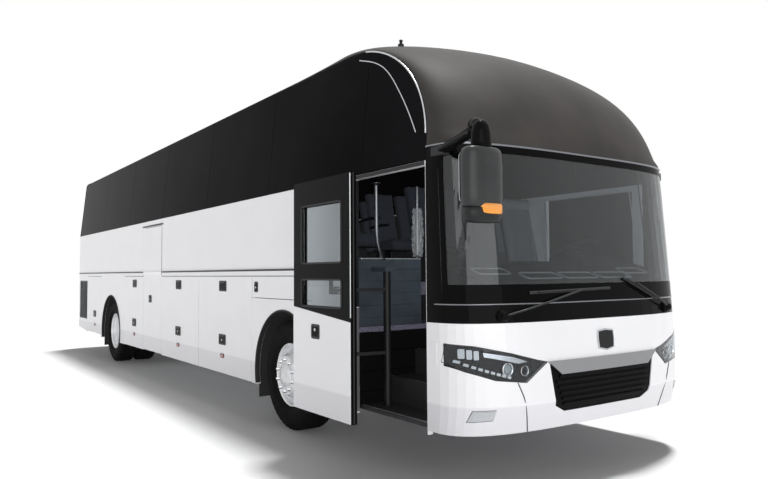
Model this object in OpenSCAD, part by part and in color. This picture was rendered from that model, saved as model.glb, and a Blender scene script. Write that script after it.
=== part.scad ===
// Twelve metre touring coach with an outward-swinging entrance door.
// The front faces -Y, the entrance side is -X, and it stands on Z = 0.
// Every "v" value is a distance behind the foremost line of the nose.

/* [Body] */
// Length of the body from the nose to the tail
body_len = 12000; // [11000:50:13500]
// Width of the body over the side panels
body_w = 2550; // [2400:10:2600]
// Height of the lower edge of the skirt
skirt_z = 370; // [320:5:420]
// Height of the belt moulding over the luggage flaps
belt_z = 1526; // [1480:2:1600]
// Height of the lower edge of the dark window band
band_z = 2277; // [2230:1:2330]
// Height of the edge between the side and the roof
cant_z = 3338; // [3250:1:3450]
// How far each side leans inwards from the window band to the roof edge
lean_in = 107; // [60:1:160]
// Rise of the roof over its side edges
roof_rise = 240; // [180:5:300]
// Thickness of a side wall
wall_t = 45; // [35:1:60]
// Thickness of the roof
roof_t = 40; // [30:1:60]
// Thickness of the bonded window glass
glass_t = 8; // [5:1:12]
// Height of the saloon floor
floor_z = 1400; // [1380:5:1420]
// Height of the driver's floor
cab_z = 1050; // [1020:5:1080]
// Thickness of the floors
floor_t = 40; // [30:1:60]
// Where the saloon floor starts behind the nose
deck_v = 1900; // [1850:10:1950]

/* [Nose] */
// Height of the upper edge of the painted nose
nose_top_z = 1145; // [1120:1:1170]
// Height of the lower edge of the windscreen
screen_z = 1270; // [1250:1:1300]
// Height of the upper edge of the windscreen
dome_z = 2372; // [2350:1:2400]
// How far the top of the windscreen lies behind the nose
screen_lean = 150; // [100:5:200]
// How far the nose wraps back round each corner
corner_wrap = 520; // [500:5:540]
// Squareness of the nose in plan
nose_square = 3.2; // [2.8:0.1:3.6]
// Squareness of the dome where it meets the roof
dome_square = 2.2; // [2:0.1:2.6]
// Where the crest of the dome lies behind the nose
crest_v = 2420; // [2300:10:2550]
// Height of the dome crest over the roof
crest_rise = 22; // [10:1:60]
// Where the side of the dome meets the roof edge
shoulder_v = 1680; // [1600:10:1800]
// Where the dome ends and the roof begins
dome_end_v = 2750; // [2650:10:2850]
// Thickness of the nose and dome shells
shell_t = 35; // [25:1:45]
// Thickness of the windscreen
screen_t = 14; // [10:1:18]

/* [Entrance] */
// Front edge of the doorway behind the nose
door_v = 524; // [524:1:540]
// Width of the doorway
door_w = 926; // [920:1:940]
// Height of the lower edge of the entrance door
door_z = 385; // [380:1:400]
// Height of the upper edge of the doorway
door_top_z = 2245; // [2230:1:2255]
// Thickness of the entrance door
leaf_t = 50; // [40:1:60]
// How far the open door stands off the side
door_out = 300; // [280:5:320]
// How far the open door has moved back
door_back = 498; // [480:2:510]
// Distance of the door pillar from the chord of the door's swing
pillar_off = 330; // [325:1:335]
// Diameter of the door pillar
pillar_d = 60; // [50:1:70]
// Heights of the two door arms
arm_zs = [850, 1355];
// Gap round the entrance door at its front edge
leaf_gap = 8; // [6:1:10]
// Gap round the entrance door at its rear edge
leaf_rear_gap = 28; // [26:1:34]

/* [Flaps and middle door] */
// Gap round the flaps
flap_gap = 8; // [6:1:10]
// Thickness of the flaps
flap_t = 40; // [30:1:50]
// Height of the top edge of the luggage openings
flap_top_z = 1470; // [1460:1:1480]
// Edges of the luggage flaps and the middle door behind the nose
bay_vs = [3421, 4980, 6444, 7309, 8340];
// Height of the upper edge of the middle door
mid_top_z = 2186; // [2170:1:2200]
// Height of the lower edge of the fuel flap
fuel_z = 1240; // [1230:1:1250]
// Front edge of the fuel flap behind the nose
fuel_v = 2150; // [2100:10:2200]
// Front and rear edges of the engine side flaps
engine_vs = [9960, 11050];
// Front and rear edges of the cooling louvres
louvre_vs = [11090, 11760];

/* [Wheels and axles] */
// Front axle behind the nose
front_axle_v = 2710; // [2690:5:2730]
// Distance between the axles
wheelbase = 6540; // [6500:5:6580]
// Tyre diameter
tyre_d = 1044; // [1010:2:1060]
// Tyre width
tyre_w = 298; // [280:1:305]
// Diameter of the rim where the tyre seats
seat_d = 572; // [560:1:580]
// How far the tyres stand in from the body side
tyre_in = 50; // [45:1:60]
// Distance between the centres of the twin tyres
twin_pitch = 338; // [334:1:345]
// Radius of the wheel arches
arch_r = 612; // [605:1:620]
// Distance of each kingpin from the middle of the coach
kingpin_x = 960; // [950:1:970]
// Kingpin diameter
kingpin_d = 45; // [40:1:50]
// Stub axle diameter
stub_d = 90; // [80:1:95]

/* [Hidden] */
$fn = 64;
hw = body_w / 2;
mirror_reach = 360;
nose_y = -(body_len + mirror_reach) / 2 + mirror_reach;
tail_v = body_len;
lean_a = atan(lean_in / (cant_z - band_z));
slope_len = (cant_z - band_z) / cos(lean_a);
crown_z = cant_z + roof_rise;
rear_axle_v = front_axle_v + wheelbase;
wheel_r = tyre_d / 2;
tyre_x = hw - tyre_in - tyre_w / 2;
inner_x = hw - wall_t;
fit = 0.3;
door_end_v = door_v + door_w;

// Half width of the body at a height
function side_x(z) = hw - max(0, z - band_z) * tan(lean_a);
function lerp(a, b, t) = a + (b - a) * t;

// Positions are given as distance behind the nose
module at_v(v) { translate([0, nose_y + v, 0]) children(); }
// An outline in the Y-Z plane, extruded along X from x0 to x1
module side_plate(x0, x1) {
    translate([x0, nose_y, 0]) rotate([90, 0, 90]) linear_extrude(x1 - x0) children();
}
// An outline in the X-Z plane, extruded along Y from v0 to v1
module cross_plate(v0, v1) {
    translate([0, nose_y + v1, 0]) rotate([90, 0, 0]) linear_extrude(v1 - v0) children();
}
module rect(v0, v1, z0, z1) { translate([v0, z0]) square([v1 - v0, z1 - z0]); }
module box(x0, x1, v0, v1, z0, z1) {
    translate([x0, nose_y + v0, z0]) cube([x1 - x0, v1 - v0, z1 - z0]);
}
module both_sides() { children(); mirror([1, 0, 0]) children(); }
// A plate on the leaning side of the window band, t0 to t1 in from its surface
module band_plate(t0, t1) {
    translate([hw, nose_y, band_z]) rotate([0, -lean_a, 0])
        translate([-t1, 0, 0]) rotate([90, 0, 90]) linear_extrude(t1 - t0) children();
}

// ---- Curved shells of the nose, dome and tail ----
// A station is [middle point, edge point, half width, squareness]; a point is [v, z].
screen_steps = 6;
dome_steps = 14;
merge_steps = 4;

function nose_station(z) =
    let (tuck = z < 600 ? 60 * (600 - z) / 200 : 0,
         lean = z < 900 ? 0 : screen_lean * pow((z - 900) / (dome_z - 900), 1.15))
    [[tuck + lean, z], [corner_wrap, z], side_x(z), nose_square];
function range(a, b, n) = [for (i = [0 : n]) lerp(a, b, i / n)];

shoulder_z = 2420;
function arc_in(a, b, power, t) =
    [b[0] - (b[0] - a[0]) * pow(max(0, cos(90 * t)), 2 / power),
     a[1] + (b[1] - a[1]) * pow(sin(90 * t), 2 / power)];
function dome_mid(t) = arc_in([screen_lean, dome_z], [crest_v, crown_z + crest_rise], 2.14, t);
function dome_edge(t) = arc_in([corner_wrap, shoulder_z], [shoulder_v, cant_z], 1.97, t);
dome_stations = concat(
    [[[screen_lean, dome_z], [corner_wrap, dome_z], side_x(dome_z), nose_square]],
    [for (i = [0 : dome_steps]) let (t = i / dome_steps, e = dome_edge(t))
        [dome_mid(t) + (i == 0 ? [4, 24] : [0, 0]), e, side_x(e[1]),
         lerp(nose_square, dome_square, sin(90 * t)), 0]],
    [for (i = [1 : merge_steps]) let (t = i / merge_steps)
        [[lerp(crest_v, dome_end_v, t), crown_z + crest_rise * (1 - t) * (1 - t)],
         [lerp(shoulder_v, dome_end_v, t), cant_z], side_x(cant_z), dome_square, t]]);

tail_lean = 110;
tail_wrap = 190;
function tail_station(z) =
    [[tail_v - tail_lean * max(0, z - 1500) / (cant_z - 1500), z],
     [tail_v - tail_wrap, z], side_x(z), 3.4];
cap_v = tail_v - 420;
cap_steps = 8;
cap_stations = concat([for (z = range(band_z, cant_z - 60, 4)) tail_station(z)],
    [for (i = [1 : cap_steps]) let (t = i / cap_steps, s = tail_station(cant_z - 60),
         m = arc_in(s[0], [cap_v, crown_z], 2.2, t), e = arc_in(s[1], [cap_v, cant_z], 2, t))
        [m, e, side_x(e[1]), lerp(3.4, 2.2, t), t]]);

// Roof arc through the two edges and the crown
roof_half = side_x(cant_z);
roof_r = (roof_half * roof_half + roof_rise * roof_rise) / (2 * roof_rise);
function roof_drop(x) = roof_r - sqrt(roof_r * roof_r - x * x);

// A point of a station at s (-1 to 1 across) and depth d, with the shell's inward normal
function shell_point(st, normal, s, d) =
    let (a = abs(s) * 90, h = pow(sin(a), 2 / st[3]), g = 1 - pow(max(0, cos(a)), 2 / st[3]),
         w = st[2] - d, m = st[0] + normal * d, k = len(st) > 4 ? st[4] : 0,
         drop = roof_drop(min(roof_half, h * st[2])) / roof_rise,
         x = w * h, gg = lerp(g, drop, k), gy = lerp(g, drop, k))
    [sign(s) * x, nose_y + lerp(m[0], st[1][0], gy), lerp(m[1], st[1][1], gg)];
function unit(p) = p / norm(p);
// Inward normal of the middle line; dir is 1 at the nose and -1 at the tail
function mid_normal(sts, i, dir) =
    let (a = sts[max(0, i - 1)][0], b = sts[min(len(sts) - 1, i + 1)][0], u = unit(b - a))
    len(sts[i]) == 4 ? [dir, 0] : sts[i][4] == 1 ? [0, -1] : dir * [u[1], -u[0]];
function quad(a, b, c, d) = [[a, b, c], [a, c, d]];

module shell(sts, s0, s1, cols, t, dir = 1, t0 = 0) {
    rows = len(sts) - 1;
    ss = range(s0, s1, cols);
    n = (rows + 1) * (cols + 1);
    pts = [for (d = [t0, t]) for (i = [0 : rows]) let (nm = mid_normal(sts, i, dir))
        for (s = ss) shell_point(sts[i], nm, s, d)];
    o = function (i, j) i * (cols + 1) + j;
    faces = concat(
        [for (i = [0 : rows - 1]) for (j = [0 : cols - 1])
            for (f = quad(o(i, j), o(i + 1, j), o(i + 1, j + 1), o(i, j + 1))) f],
        [for (i = [0 : rows - 1]) for (j = [0 : cols - 1])
            for (f = quad(n + o(i, j), n + o(i, j + 1), n + o(i + 1, j + 1), n + o(i + 1, j))) f],
        [for (j = [0 : cols - 1])
            for (f = quad(o(0, j), o(0, j + 1), n + o(0, j + 1), n + o(0, j))) f],
        [for (j = [0 : cols - 1])
            for (f = quad(o(rows, j + 1), o(rows, j), n + o(rows, j), n + o(rows, j + 1))) f],
        [for (i = [0 : rows - 1])
            for (f = quad(o(i + 1, 0), o(i, 0), n + o(i, 0), n + o(i + 1, 0))) f],
        [for (i = [0 : rows - 1])
            for (f = quad(o(i, cols), o(i + 1, cols), n + o(i + 1, cols), n + o(i, cols))) f]);
    polyhedron(pts, dir > 0 ? faces : [for (f = faces) [f[2], f[1], f[0]]]);
}

// ---- Lower body ----
module arch_cut(v) { translate([v, wheel_r]) circle(arch_r); }
module skirt_outline() {
    rise_v = 10600;
    polygon([[corner_wrap + fit, skirt_z], [rise_v, skirt_z], [tail_v - tail_wrap - fit, skirt_z + 90],
             [tail_v - tail_wrap - fit, band_z - fit], [corner_wrap + fit, band_z - fit]]);
}
module side_wall_shape() {
    difference() {
        skirt_outline();
        arch_cut(front_axle_v);
        arch_cut(rear_axle_v);
        rect(bay_vs[0], bay_vs[4], 0, flap_top_z);
        rect(engine_vs[0], engine_vs[1], 0, flap_top_z);
        rect(louvre_vs[0], louvre_vs[1], 640, 1380);
    }
}
module side_wall_right() {
    color("white") difference() {
        side_plate(-hw, -inner_x) side_wall_shape();
        side_plate(-hw - 1, -inner_x + 1) {
            rect(door_v, door_end_v, 0, door_top_z);
            rect(bay_vs[2], bay_vs[3], 0, mid_top_z);
            rect(fuel_v, bay_vs[0] + 1, fuel_z, flap_top_z);
        }
    }
}
cab_window = [620, 1640, 1560, 2225];
module side_wall_left() {
    color("white") difference() {
        side_plate(inner_x, hw) side_wall_shape();
        side_plate(inner_x - 1, hw + 1)
            rect(cab_window[0], cab_window[1], cab_window[2], cab_window[3]);
    }
}
module belt(v0, v1, root = fit) {
    side_plate(hw + root, hw + 14) rect(v0, v1, belt_z - 9, belt_z + 9);
}
module belt_rails() {
    color("#202020") {
        belt(door_end_v + 60, tail_v - tail_wrap - 20);
        mirror([1, 0, 0]) {
            belt(door_end_v + 60, well[0] - 30);
            belt(well[1] + 4, tail_v - tail_wrap - 20);
        }
    }
}
// Hinge rods lie in the gaps over the flaps, half out of the side
rod_d = 2 * (flap_gap / 2 - fit);
hinge_z = flap_top_z - flap_gap / 2;
module hinge_rod(v0, v1, z = hinge_z) {
    at_v(v0) translate([hw, 0, z]) rotate([-90, 0, 0]) cylinder(d = rod_d, h = v1 - v0);
}
module hinge_rods() {
    color("#202020") {
        both_sides() hinge_rod(engine_vs[0] + 10, engine_vs[1] - 10);
        hinge_rod(bay_vs[0] + 10, bay_vs[4] - 10);
        mirror([1, 0, 0]) {
            hinge_rod(fuel_v + 10, bay_vs[2] - 10);
            hinge_rod(bay_vs[3] + 10, bay_vs[4] - 10);
            at_v(bay_vs[2] + flap_gap / 2) translate([hw, 0, flap_top_z + 10])
                cylinder(d = rod_d, h = mid_top_z - flap_top_z - 30);
        }
        for (x = [-600, 400]) translate([x, nose_y + tail_v - 5, lid_z[1] - flap_gap / 2])
            rotate([0, 90, 0]) cylinder(d = rod_d, h = 200);
    }
}
// ---- Window band ----
first_seam_v = 1350;
pane_pitch = 1700;
pane_gap = 8;
frame_edge = 90;
last_pane_v = tail_v - 300;
pane_top = slope_len - 12;
function to_slope(p) = [p[0], (p[1] - band_z) / cos(lean_a)];
edge_line = [for (i = [0 : dome_steps]) to_slope(dome_edge(i / dome_steps)) + [fit, -fit]];
tail_line = [for (i = [cap_steps : -1 : 0]) let (s = tail_station(cant_z - 60),
    e = arc_in(s[1], [cap_v, cant_z], 2, i / cap_steps)) to_slope(e) - [fit, fit]];
band_low = wall_t * tan(lean_a) + fit;
module band_outline(inset) {
    polygon(concat([[door_v + inset * 1.2, band_low + inset]],
        [for (p = edge_line) if (p[1] < pane_top && p[1] > 2 * inset + 10)
            [p[0] + inset * 1.2, p[1] - inset]],
        [[shoulder_v + inset, pane_top - inset], [last_pane_v - inset, pane_top - inset],
         [last_pane_v - inset, band_low + inset]]));
}
pane_edges = concat([corner_wrap], [for (v = [first_seam_v : pane_pitch : last_pane_v - 900]) v],
                    [last_pane_v]);
module pane(i, edge) {
    intersection() {
        band_outline(edge);
        rect(pane_edges[i] + edge, pane_edges[i + 1] - edge, 0, slope_len);
    }
}
module window_frames() {
    color("#181818") both_sides() band_plate(glass_t + fit, wall_t) difference() {
        polygon(concat([[corner_wrap + fit, band_low]], edge_line, tail_line,
                       [[tail_v - tail_wrap - fit, band_low]]));
        for (i = [0 : len(pane_edges) - 2]) pane(i, frame_edge);
    }
}
module side_glass() {
    color("#23262a") {
        both_sides() for (i = [0 : len(pane_edges) - 2]) band_plate(0, glass_t) pane(i, pane_gap / 2);
        side_plate(hw - glass_t, hw) rect(cab_window[0] + fit, cab_window[1] - fit,
                                          cab_window[2] + fit, cab_window[3] - fit);
    }
}
// ---- Roof ----
module roof_shell() {
    color("#1c1c1c") cross_plate(dome_end_v + fit, cap_v - fit) intersection() {
        difference() {
            translate([0, crown_z - roof_r]) circle(roof_r, $fn = 200);
            translate([0, crown_z - roof_r]) circle(roof_r - roof_t, $fn = 200);
        }
        translate([-roof_half, cant_z - fit]) square([2 * roof_half, roof_rise + 1]);
    }
}
unit_half = 540;
hatch_half = 380;
module on_roof(v0, v1, half, chamfer, height) {
    base = crown_z - roof_drop(half);
    cross_plate(v0, v1) difference() {
        polygon([[-half, base], [-half + chamfer, base + height], [half - chamfer, base + height],
                 [half, base]]);
        translate([0, crown_z - roof_r]) circle(roof_r + 0.8, $fn = 200);
    }
}
module roof_units() {
    color("#d8d8d8") {
        on_roof(6300, 8900, unit_half, 60, 130);
        for (v = [4100, 10000]) on_roof(v - hatch_half, v + hatch_half, hatch_half, 20, 85);
        at_v(crest_v) translate([0, 0, crown_z + crest_rise + fit]) cylinder(d1 = 90, d2 = 50, h = 60);
    }
}
module front_dome() { color("#3b3a39") shell(dome_stations, -1, 1, 28, shell_t); }
// ---- Nose ----
screen_s = 0.9;
nose_zs = [skirt_z + 30, 500, 600, 760, 900, 1020, nose_top_z];
lamp_shape = [[620, 868], [920, 946], [1150, 998], [1300, 1014], [1300, 878], [1200, 826],
              [1030, 766], [800, 740]];
fog_shape = [[1035, 500], [1190, 492], [1165, 572], [1020, 574]];
grille_shape = [[600, 862], [540, 560], [440, 512], [-440, 512], [-540, 560], [-600, 862]];
module front_panel() {
    color("white") difference() {
        shell([for (z = nose_zs) nose_station(z)], -1, 1, 28, shell_t);
        cross_plate(-60, 480) {
            polygon(lamp_shape);
            mirror([1, 0]) polygon(lamp_shape);
            polygon(fog_shape);
            mirror([1, 0]) polygon(fog_shape);
            polygon(grille_shape);
        }
    }
}
module lamp_body(outline, depth, inset) {
    both_sides() intersection() {
        cross_plate(-60, 480) offset(delta = -fit) polygon(outline);
        at_v(0) translate([0, -nose_y, 0])
            shell([for (z = nose_zs) let (s = nose_station(z))
                [s[0] + [inset, 0], s[1], s[2] - inset, s[3]]], -1, 1, 28, depth);
    }
}
module front_lamps() {
    color("#c8ccd0") {
        lamp_body(lamp_shape, shell_t - 4, 2);
        lamp_body(fog_shape, shell_t - 4, 2);
    }
}
module front_grille() {
    color("#151515") intersection() {
        cross_plate(-60, 480) offset(delta = -fit) polygon(grille_shape);
        shell([for (z = nose_zs) let (s = nose_station(z))
            [s[0] + [8, 0], s[1], s[2] - 8, s[3]]], -1, 1, 28, 24);
    }
}
bar_shape = [[625, 872], [500, 778], [-500, 778], [-625, 872]];
module grille_bar() {
    color("silver") intersection() {
        cross_plate(-60, 200) polygon(bar_shape);
        shell([for (z = nose_zs) let (s = nose_station(z))
            [s[0] - [18, 0], s[1], s[2], s[3]]], -1, 1, 28, 17);
    }
}
// A skin of the upper nose between two heights and two places across
module nose_skin(z0, z1, rows, s0, s1, cols, t, t0 = 0) {
    shell([for (z = range(z0, z1, rows)) nose_station(z)], s0, s1, cols, t, 1, t0);
}
module windscreen() {
    color("#3a4146") nose_skin(screen_z + fit, dome_z - fit, screen_steps,
                               -screen_s + 0.002, screen_s - 0.002, 24, screen_t);
}
module windscreen_surround() {
    color("#151515") {
        both_sides() nose_skin(nose_top_z + fit, dome_z - fit, 8, screen_s, 1, 5, shell_t);
        nose_skin(nose_top_z + fit, screen_z, 2, -screen_s, screen_s, 24, shell_t);
    }
}
// Cuts away what would reach into the nose, leaving a running gap
module outside_nose() {
    difference() {
        children();
        both_sides() nose_skin(nose_top_z + fit, dome_z - fit, 8, screen_s, 1, 5, 160, -0.7);
        nose_skin(screen_z + fit, dome_z - fit, screen_steps, -screen_s, screen_s, 24, 160, -0.7);
        nose_skin(nose_top_z + fit, screen_z + 1, 2, -screen_s, screen_s, 24, 160, -0.7);
    }
}

// ---- Tail ----
rear_low_zs = [skirt_z + 90, 700, 1100, 1500, 1900, band_z];
lid_half = 860;
lid_z = [640, 1560];
rear_window_shape = [[-860, 2480], [860, 2480], [800, 3080], [-800, 3080]];
tail_lamp_shape = [[1010, 780], [1235, 780], [1235, 1500], [1050, 1500]];
module rear_panel() {
    color("white") difference() {
        shell([for (z = rear_low_zs) tail_station(z)], -1, 1, 24, shell_t, -1);
        cross_plate(tail_v - 175, tail_v + 60) {
            translate([-lid_half, lid_z[0]]) square([2 * lid_half, lid_z[1] - lid_z[0]]);
            polygon(tail_lamp_shape);
            mirror([1, 0]) polygon(tail_lamp_shape);
        }
    }
}
module rear_cap() {
    color("#1c1c1c") difference() {
        shell(cap_stations, -1, 1, 24, shell_t, -1);
        cross_plate(tail_v - 330, tail_v + 60) polygon(rear_window_shape);
    }
}
module rear_window() {
    color("#23262a") intersection() {
        cross_plate(tail_v - 330, tail_v + 60) offset(delta = -fit) polygon(rear_window_shape);
        shell(cap_stations, -1, 1, 24, screen_t + 2, -1, 2);
    }
}
module tail_lamps() {
    color("#8c1414") both_sides() intersection() {
        cross_plate(tail_v - 175, tail_v + 60) offset(delta = -fit) polygon(tail_lamp_shape);
        shell([for (z = rear_low_zs) tail_station(z)], -1, 1, 24, shell_t - 4, -1, 2);
    }
}
module engine_lid() {
    color("white") intersection() {
        cross_plate(tail_v - 175, tail_v + 60) translate([-lid_half + flap_gap, lid_z[0] + flap_gap])
            square([2 * (lid_half - flap_gap), lid_z[1] - lid_z[0] - 2 * flap_gap]);
        shell([for (z = rear_low_zs) tail_station(z)], -1, 1, 24, shell_t - 5, -1);
    }
}
// ---- Floors, luggage bay and steps ----
deck_end_v = tail_v - tail_wrap - fit;
steps_x = 380;
well_x = 300;
tread_t = 30;
front_tread_z = 430;
well = [bay_vs[2], bay_vs[3]];
floor_in = inner_x - fit;
module floor_deck() {
    color("#6b6f74") {
        difference() {
            side_plate(-floor_in, floor_in) polygon([[corner_wrap + 20, cab_z - floor_t],
                [corner_wrap + 20, cab_z], [deck_v, cab_z], [deck_v, floor_z], [deck_end_v, floor_z],
                [deck_end_v, floor_z - floor_t], [deck_v + floor_t, floor_z - floor_t],
                [deck_v + floor_t, cab_z - floor_t]]);
            box(-hw, -steps_x, 0, door_end_v + fit, 0, cab_z + 1);
            box(-hw, -well_x, well[0], well[1], floor_z - floor_t - 1, floor_z + 1);
        }
        box(-850, 850, 200, corner_wrap + 20 - fit, cab_z - floor_t, cab_z);
    }
}
bay_in = hw - flap_t - 9;
bay_z = 425;
bulk_t = 30;
module luggage_bay() {
    color("#8a8d90") {
        top = floor_z - floor_t - fit;
        difference() {
            union() {
                box(-bay_in, bay_in, bay_vs[0] + 9, bay_vs[4] - 9, bay_z - 30, bay_z);
                box(-bay_in, bay_in, bay_vs[0] + 9, bay_vs[0] + 9 + bulk_t, bay_z - 1, top);
                box(-bay_in, bay_in, bay_vs[4] - 9 - bulk_t, bay_vs[4] - 9, bay_z - 1, top);
                wall_x = -well_x + tread_t + fit;
                for (v = [well[0] - bulk_t, well[1]])
                    box(-bay_in, wall_x + bulk_t, v, v + bulk_t, bay_z - 1, top);
                box(wall_x, wall_x + bulk_t, well[0] - 1, well[1] + 1, bay_z - 1, top);
                both_sides() box(bay_in - 60, bay_in, bay_vs[1] - 25, bay_vs[1] + 25, bay_z - 1, top);
                box(bay_in - 60, bay_in, well[0] - 25, well[0] + 25, bay_z - 1, top);
            }
        }
    }
}
// A flight from the door at x0 up to the floor at x1, as an outline in X and Z
function flight(x0, x1, z0, z1, n) =
    let (dx = (x1 - x0) / n, dz = (z1 - z0) / n, top = z1 - floor_t - fit, t = tread_t)
    concat([for (i = [0 : n - 1]) each [[x0 + i * dx, z0 + i * dz], [x0 + (i + 1) * dx, z0 + i * dz]]],
           [[x1, top], [x1 + t, top]],
           [for (i = [n - 1 : -1 : 0]) each [[x0 + (i + 1) * dx + t, z0 + i * dz - t],
                                             [x0 + i * dx + (i == 0 ? 0 : t), z0 + i * dz - t]]]);
module door_steps() {
    color("#55585c") {
        cross_plate(door_v + 4, door_end_v - fit)
            polygon(flight(-hw + leaf_t + 7, -steps_x - fit, front_tread_z, cab_z, 3));
        cross_plate(well[0] + fit, well[1] - fit)
            polygon(flight(-bay_in, -well_x - fit, bay_z + tread_t + fit, floor_z, 4));
        rise = (floor_z - cab_z) / 3;
        for (i = [1, 2]) box(-330, 330, deck_v - 280 * (3 - i), deck_v - fit,
                             cab_z + fit + rise * (i - 1), cab_z + rise * i);
    }
}
// ---- Underframe ----
rail_x = 430;
rail_w = 80;
rail_zs = [640, 800];
beam_w = 80;
module rails(v0, v1) {
    both_sides() box(rail_x - rail_w / 2, rail_x + rail_w / 2, v0, v1, rail_zs[0], rail_zs[1]);
}
module crossbeam(v, x) {
    inner = rail_x - rail_w / 2 - fit;
    box(-inner, inner, v, v + beam_w, rail_zs[0], rail_zs[1]);
    both_sides() box(rail_x + rail_w / 2 + fit, x, v, v + beam_w, rail_zs[0], rail_zs[1]);
}
module posts(v, top) {
    both_sides() box(floor_in - beam_w, floor_in, v, v + beam_w, rail_zs[1] + fit, top);
}
liner_t = 12;
front_beams = [front_axle_v - arch_r - liner_t - 6 - beam_w, front_axle_v + arch_r + liner_t + 6];
rear_beams = [rear_axle_v - arch_r - liner_t - 6 - beam_w, rear_axle_v + arch_r + liner_t + 6];
nose_beam_v = corner_wrap - 110;
tow_pin_d = 40;
module underframe() {
    color("#2b2d30") {
        rails(nose_beam_v, bay_vs[0] + 9 - fit);
        crossbeam(nose_beam_v, 1060);
        difference() {
            box(-60, 60, nose_beam_v - 110, nose_beam_v + 1, 690, 750);
            at_v(nose_beam_v - 55) translate([0, 0, 600]) cylinder(d = tow_pin_d, h = 200);
        }
        for (v = front_beams) crossbeam(v, floor_in);
        posts(front_beams[0], cab_z - floor_t - fit);
        both_sides() box(rail_x - 30, rail_x + 30, nose_beam_v, nose_beam_v + 60,
                         rail_zs[1] + fit, cab_z - floor_t - fit);
        rails(bay_vs[4] - 9 + fit, deck_end_v - 100);
        for (v = concat(rear_beams, [deck_end_v - 180])) crossbeam(v, floor_in);
        posts(rear_beams[0], floor_z - floor_t - fit);
        posts(deck_end_v - 180, floor_z - floor_t - fit);
    }
}
liner_in = 560;
module wheel_arches() {
    color("#1a1a1a") both_sides() for (v = [front_axle_v, rear_axle_v]) intersection() {
        at_v(v) translate([liner_in, 0, wheel_r]) rotate([0, 90, 0]) difference() {
            cylinder(r = arch_r + liner_t, h = floor_in - liner_in);
            translate([0, 0, -1]) cylinder(r = arch_r, h = floor_in - liner_in + 2);
        }
        box(0, hw, v - 800, v + 800, wheel_r - 60, 1300);
    }
}
module mudflaps() {
    color("#101010") both_sides() for (v = [front_axle_v, rear_axle_v])
        box(tyre_x - tyre_w / 2, floor_in, v + arch_r + liner_t + fit, v + arch_r + liner_t + 6 - fit,
            230, 700);
}
// ---- Axles ----
boss_d = 100;
boss_h = 120;
run_fit = 0.05;
spring_d = 200;
module front_axle() {
    color("#3a3d40") {
        difference() {
            union() {
                box(-kingpin_x + 20, kingpin_x - 20, front_axle_v - 45, front_axle_v + 45, 470, 575);
                both_sides() at_v(front_axle_v) translate([kingpin_x, 0, wheel_r - boss_h / 2])
                    cylinder(d = boss_d, h = boss_h);
                both_sides() at_v(front_axle_v) translate([rail_x, 0, 574])
                    cylinder(d = spring_d, h = rail_zs[0] - 574 - fit);
                both_sides() box(290, 350, front_axle_v, front_beams[1] + 60, 480, 530);
                both_sides() box(290, 350, front_beams[1] + 20, front_beams[1] + 60, 480,
                                 rail_zs[0] - fit);
            }
            both_sides() at_v(front_axle_v) translate([kingpin_x, 0, 0])
                cylinder(d = kingpin_d + 2 * run_fit, h = 1000);
        }
    }
}
knuckle_plate_x = kingpin_x + 62;
module knuckle() {
    color("#3a3d40") {
        box(knuckle_plate_x, knuckle_plate_x + 30, front_axle_v - 70, front_axle_v + 70,
            wheel_r - 104, wheel_r + 104);
        at_v(front_axle_v) {
            for (z = [wheel_r - 104, wheel_r + 66]) translate([kingpin_x, 0, z]) {
                cylinder(d = 96, h = 38);
                translate([0, -48, 0]) cube([62.5, 96, 38]);
            }
            translate([kingpin_x, 0, wheel_r - 90]) cylinder(d = kingpin_d, h = 180);
            translate([knuckle_plate_x + 29, 0, wheel_r]) rotate([0, 90, 0])
                cylinder(d = stub_d, h = 155);
        }
    }
}
module knuckle_left() { knuckle(); }
module knuckle_right() { mirror([1, 0, 0]) knuckle(); }
twin_x = tyre_x - twin_pitch / 2;
module rear_axle() {
    color("#3a3d40") {
        at_v(rear_axle_v) translate([0, 0, wheel_r]) rotate([0, 90, 0]) {
            translate([0, 0, -twin_x + 70]) cylinder(d = 170, h = 2 * twin_x - 140);
            translate([0, 0, -150]) cylinder(d = 420, h = 300);
            translate([0, 0, -twin_x - 90]) cylinder(d = stub_d, h = 2 * twin_x + 180);
        }
        both_sides() {
            box(rail_x - 40, rail_x + 40, rear_axle_v - 400, rear_axle_v + 400, 450, 540);
            at_v(rear_axle_v) for (y = [-300, 300]) translate([rail_x, y, 539])
                cylinder(d = spring_d, h = rail_zs[0] - 539 - fit);
            box(290, 350, rear_beams[0] + 20, rear_axle_v, 480, 530);
            box(290, 350, rear_beams[0] + 20, rear_beams[0] + 60, 480, rail_zs[0] - fit);
        }
    }
}
// ---- Wheels, turned about their own axis and laid along X ----
seat_r = seat_d / 2;
bead_a = 105;
tyre_profile = [for (m = [1, -1]) for (p = m > 0
    ? [[seat_r + fit, 60], [seat_r + fit, bead_a - fit], [seat_r + 13, bead_a - fit],
       [seat_r + 26, 120], [350, 143], [400, 149], [455, 143], [495, 129], [513, 116], [wheel_r, 100]]
    : [[wheel_r, 100], [513, 116], [495, 129], [455, 143], [400, 149], [350, 143],
       [seat_r + 26, 120], [seat_r + 13, bead_a - fit], [seat_r + fit, bead_a - fit],
       [seat_r + fit, 60]]) [p[0], m * p[1] * tyre_w / 298]];
tyre_hollow = [for (m = [-1, 1]) for (p = m < 0
    ? [[seat_r - 5, 60], [seat_r + 14, 82], [350, 114], [400, 122], [455, 116], [487, 100]]
    : [[487, 100], [455, 116], [400, 122], [350, 114], [seat_r + 14, 82], [seat_r - 5, 60]])
    [p[0], m * p[1] * tyre_w / 298]];
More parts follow.
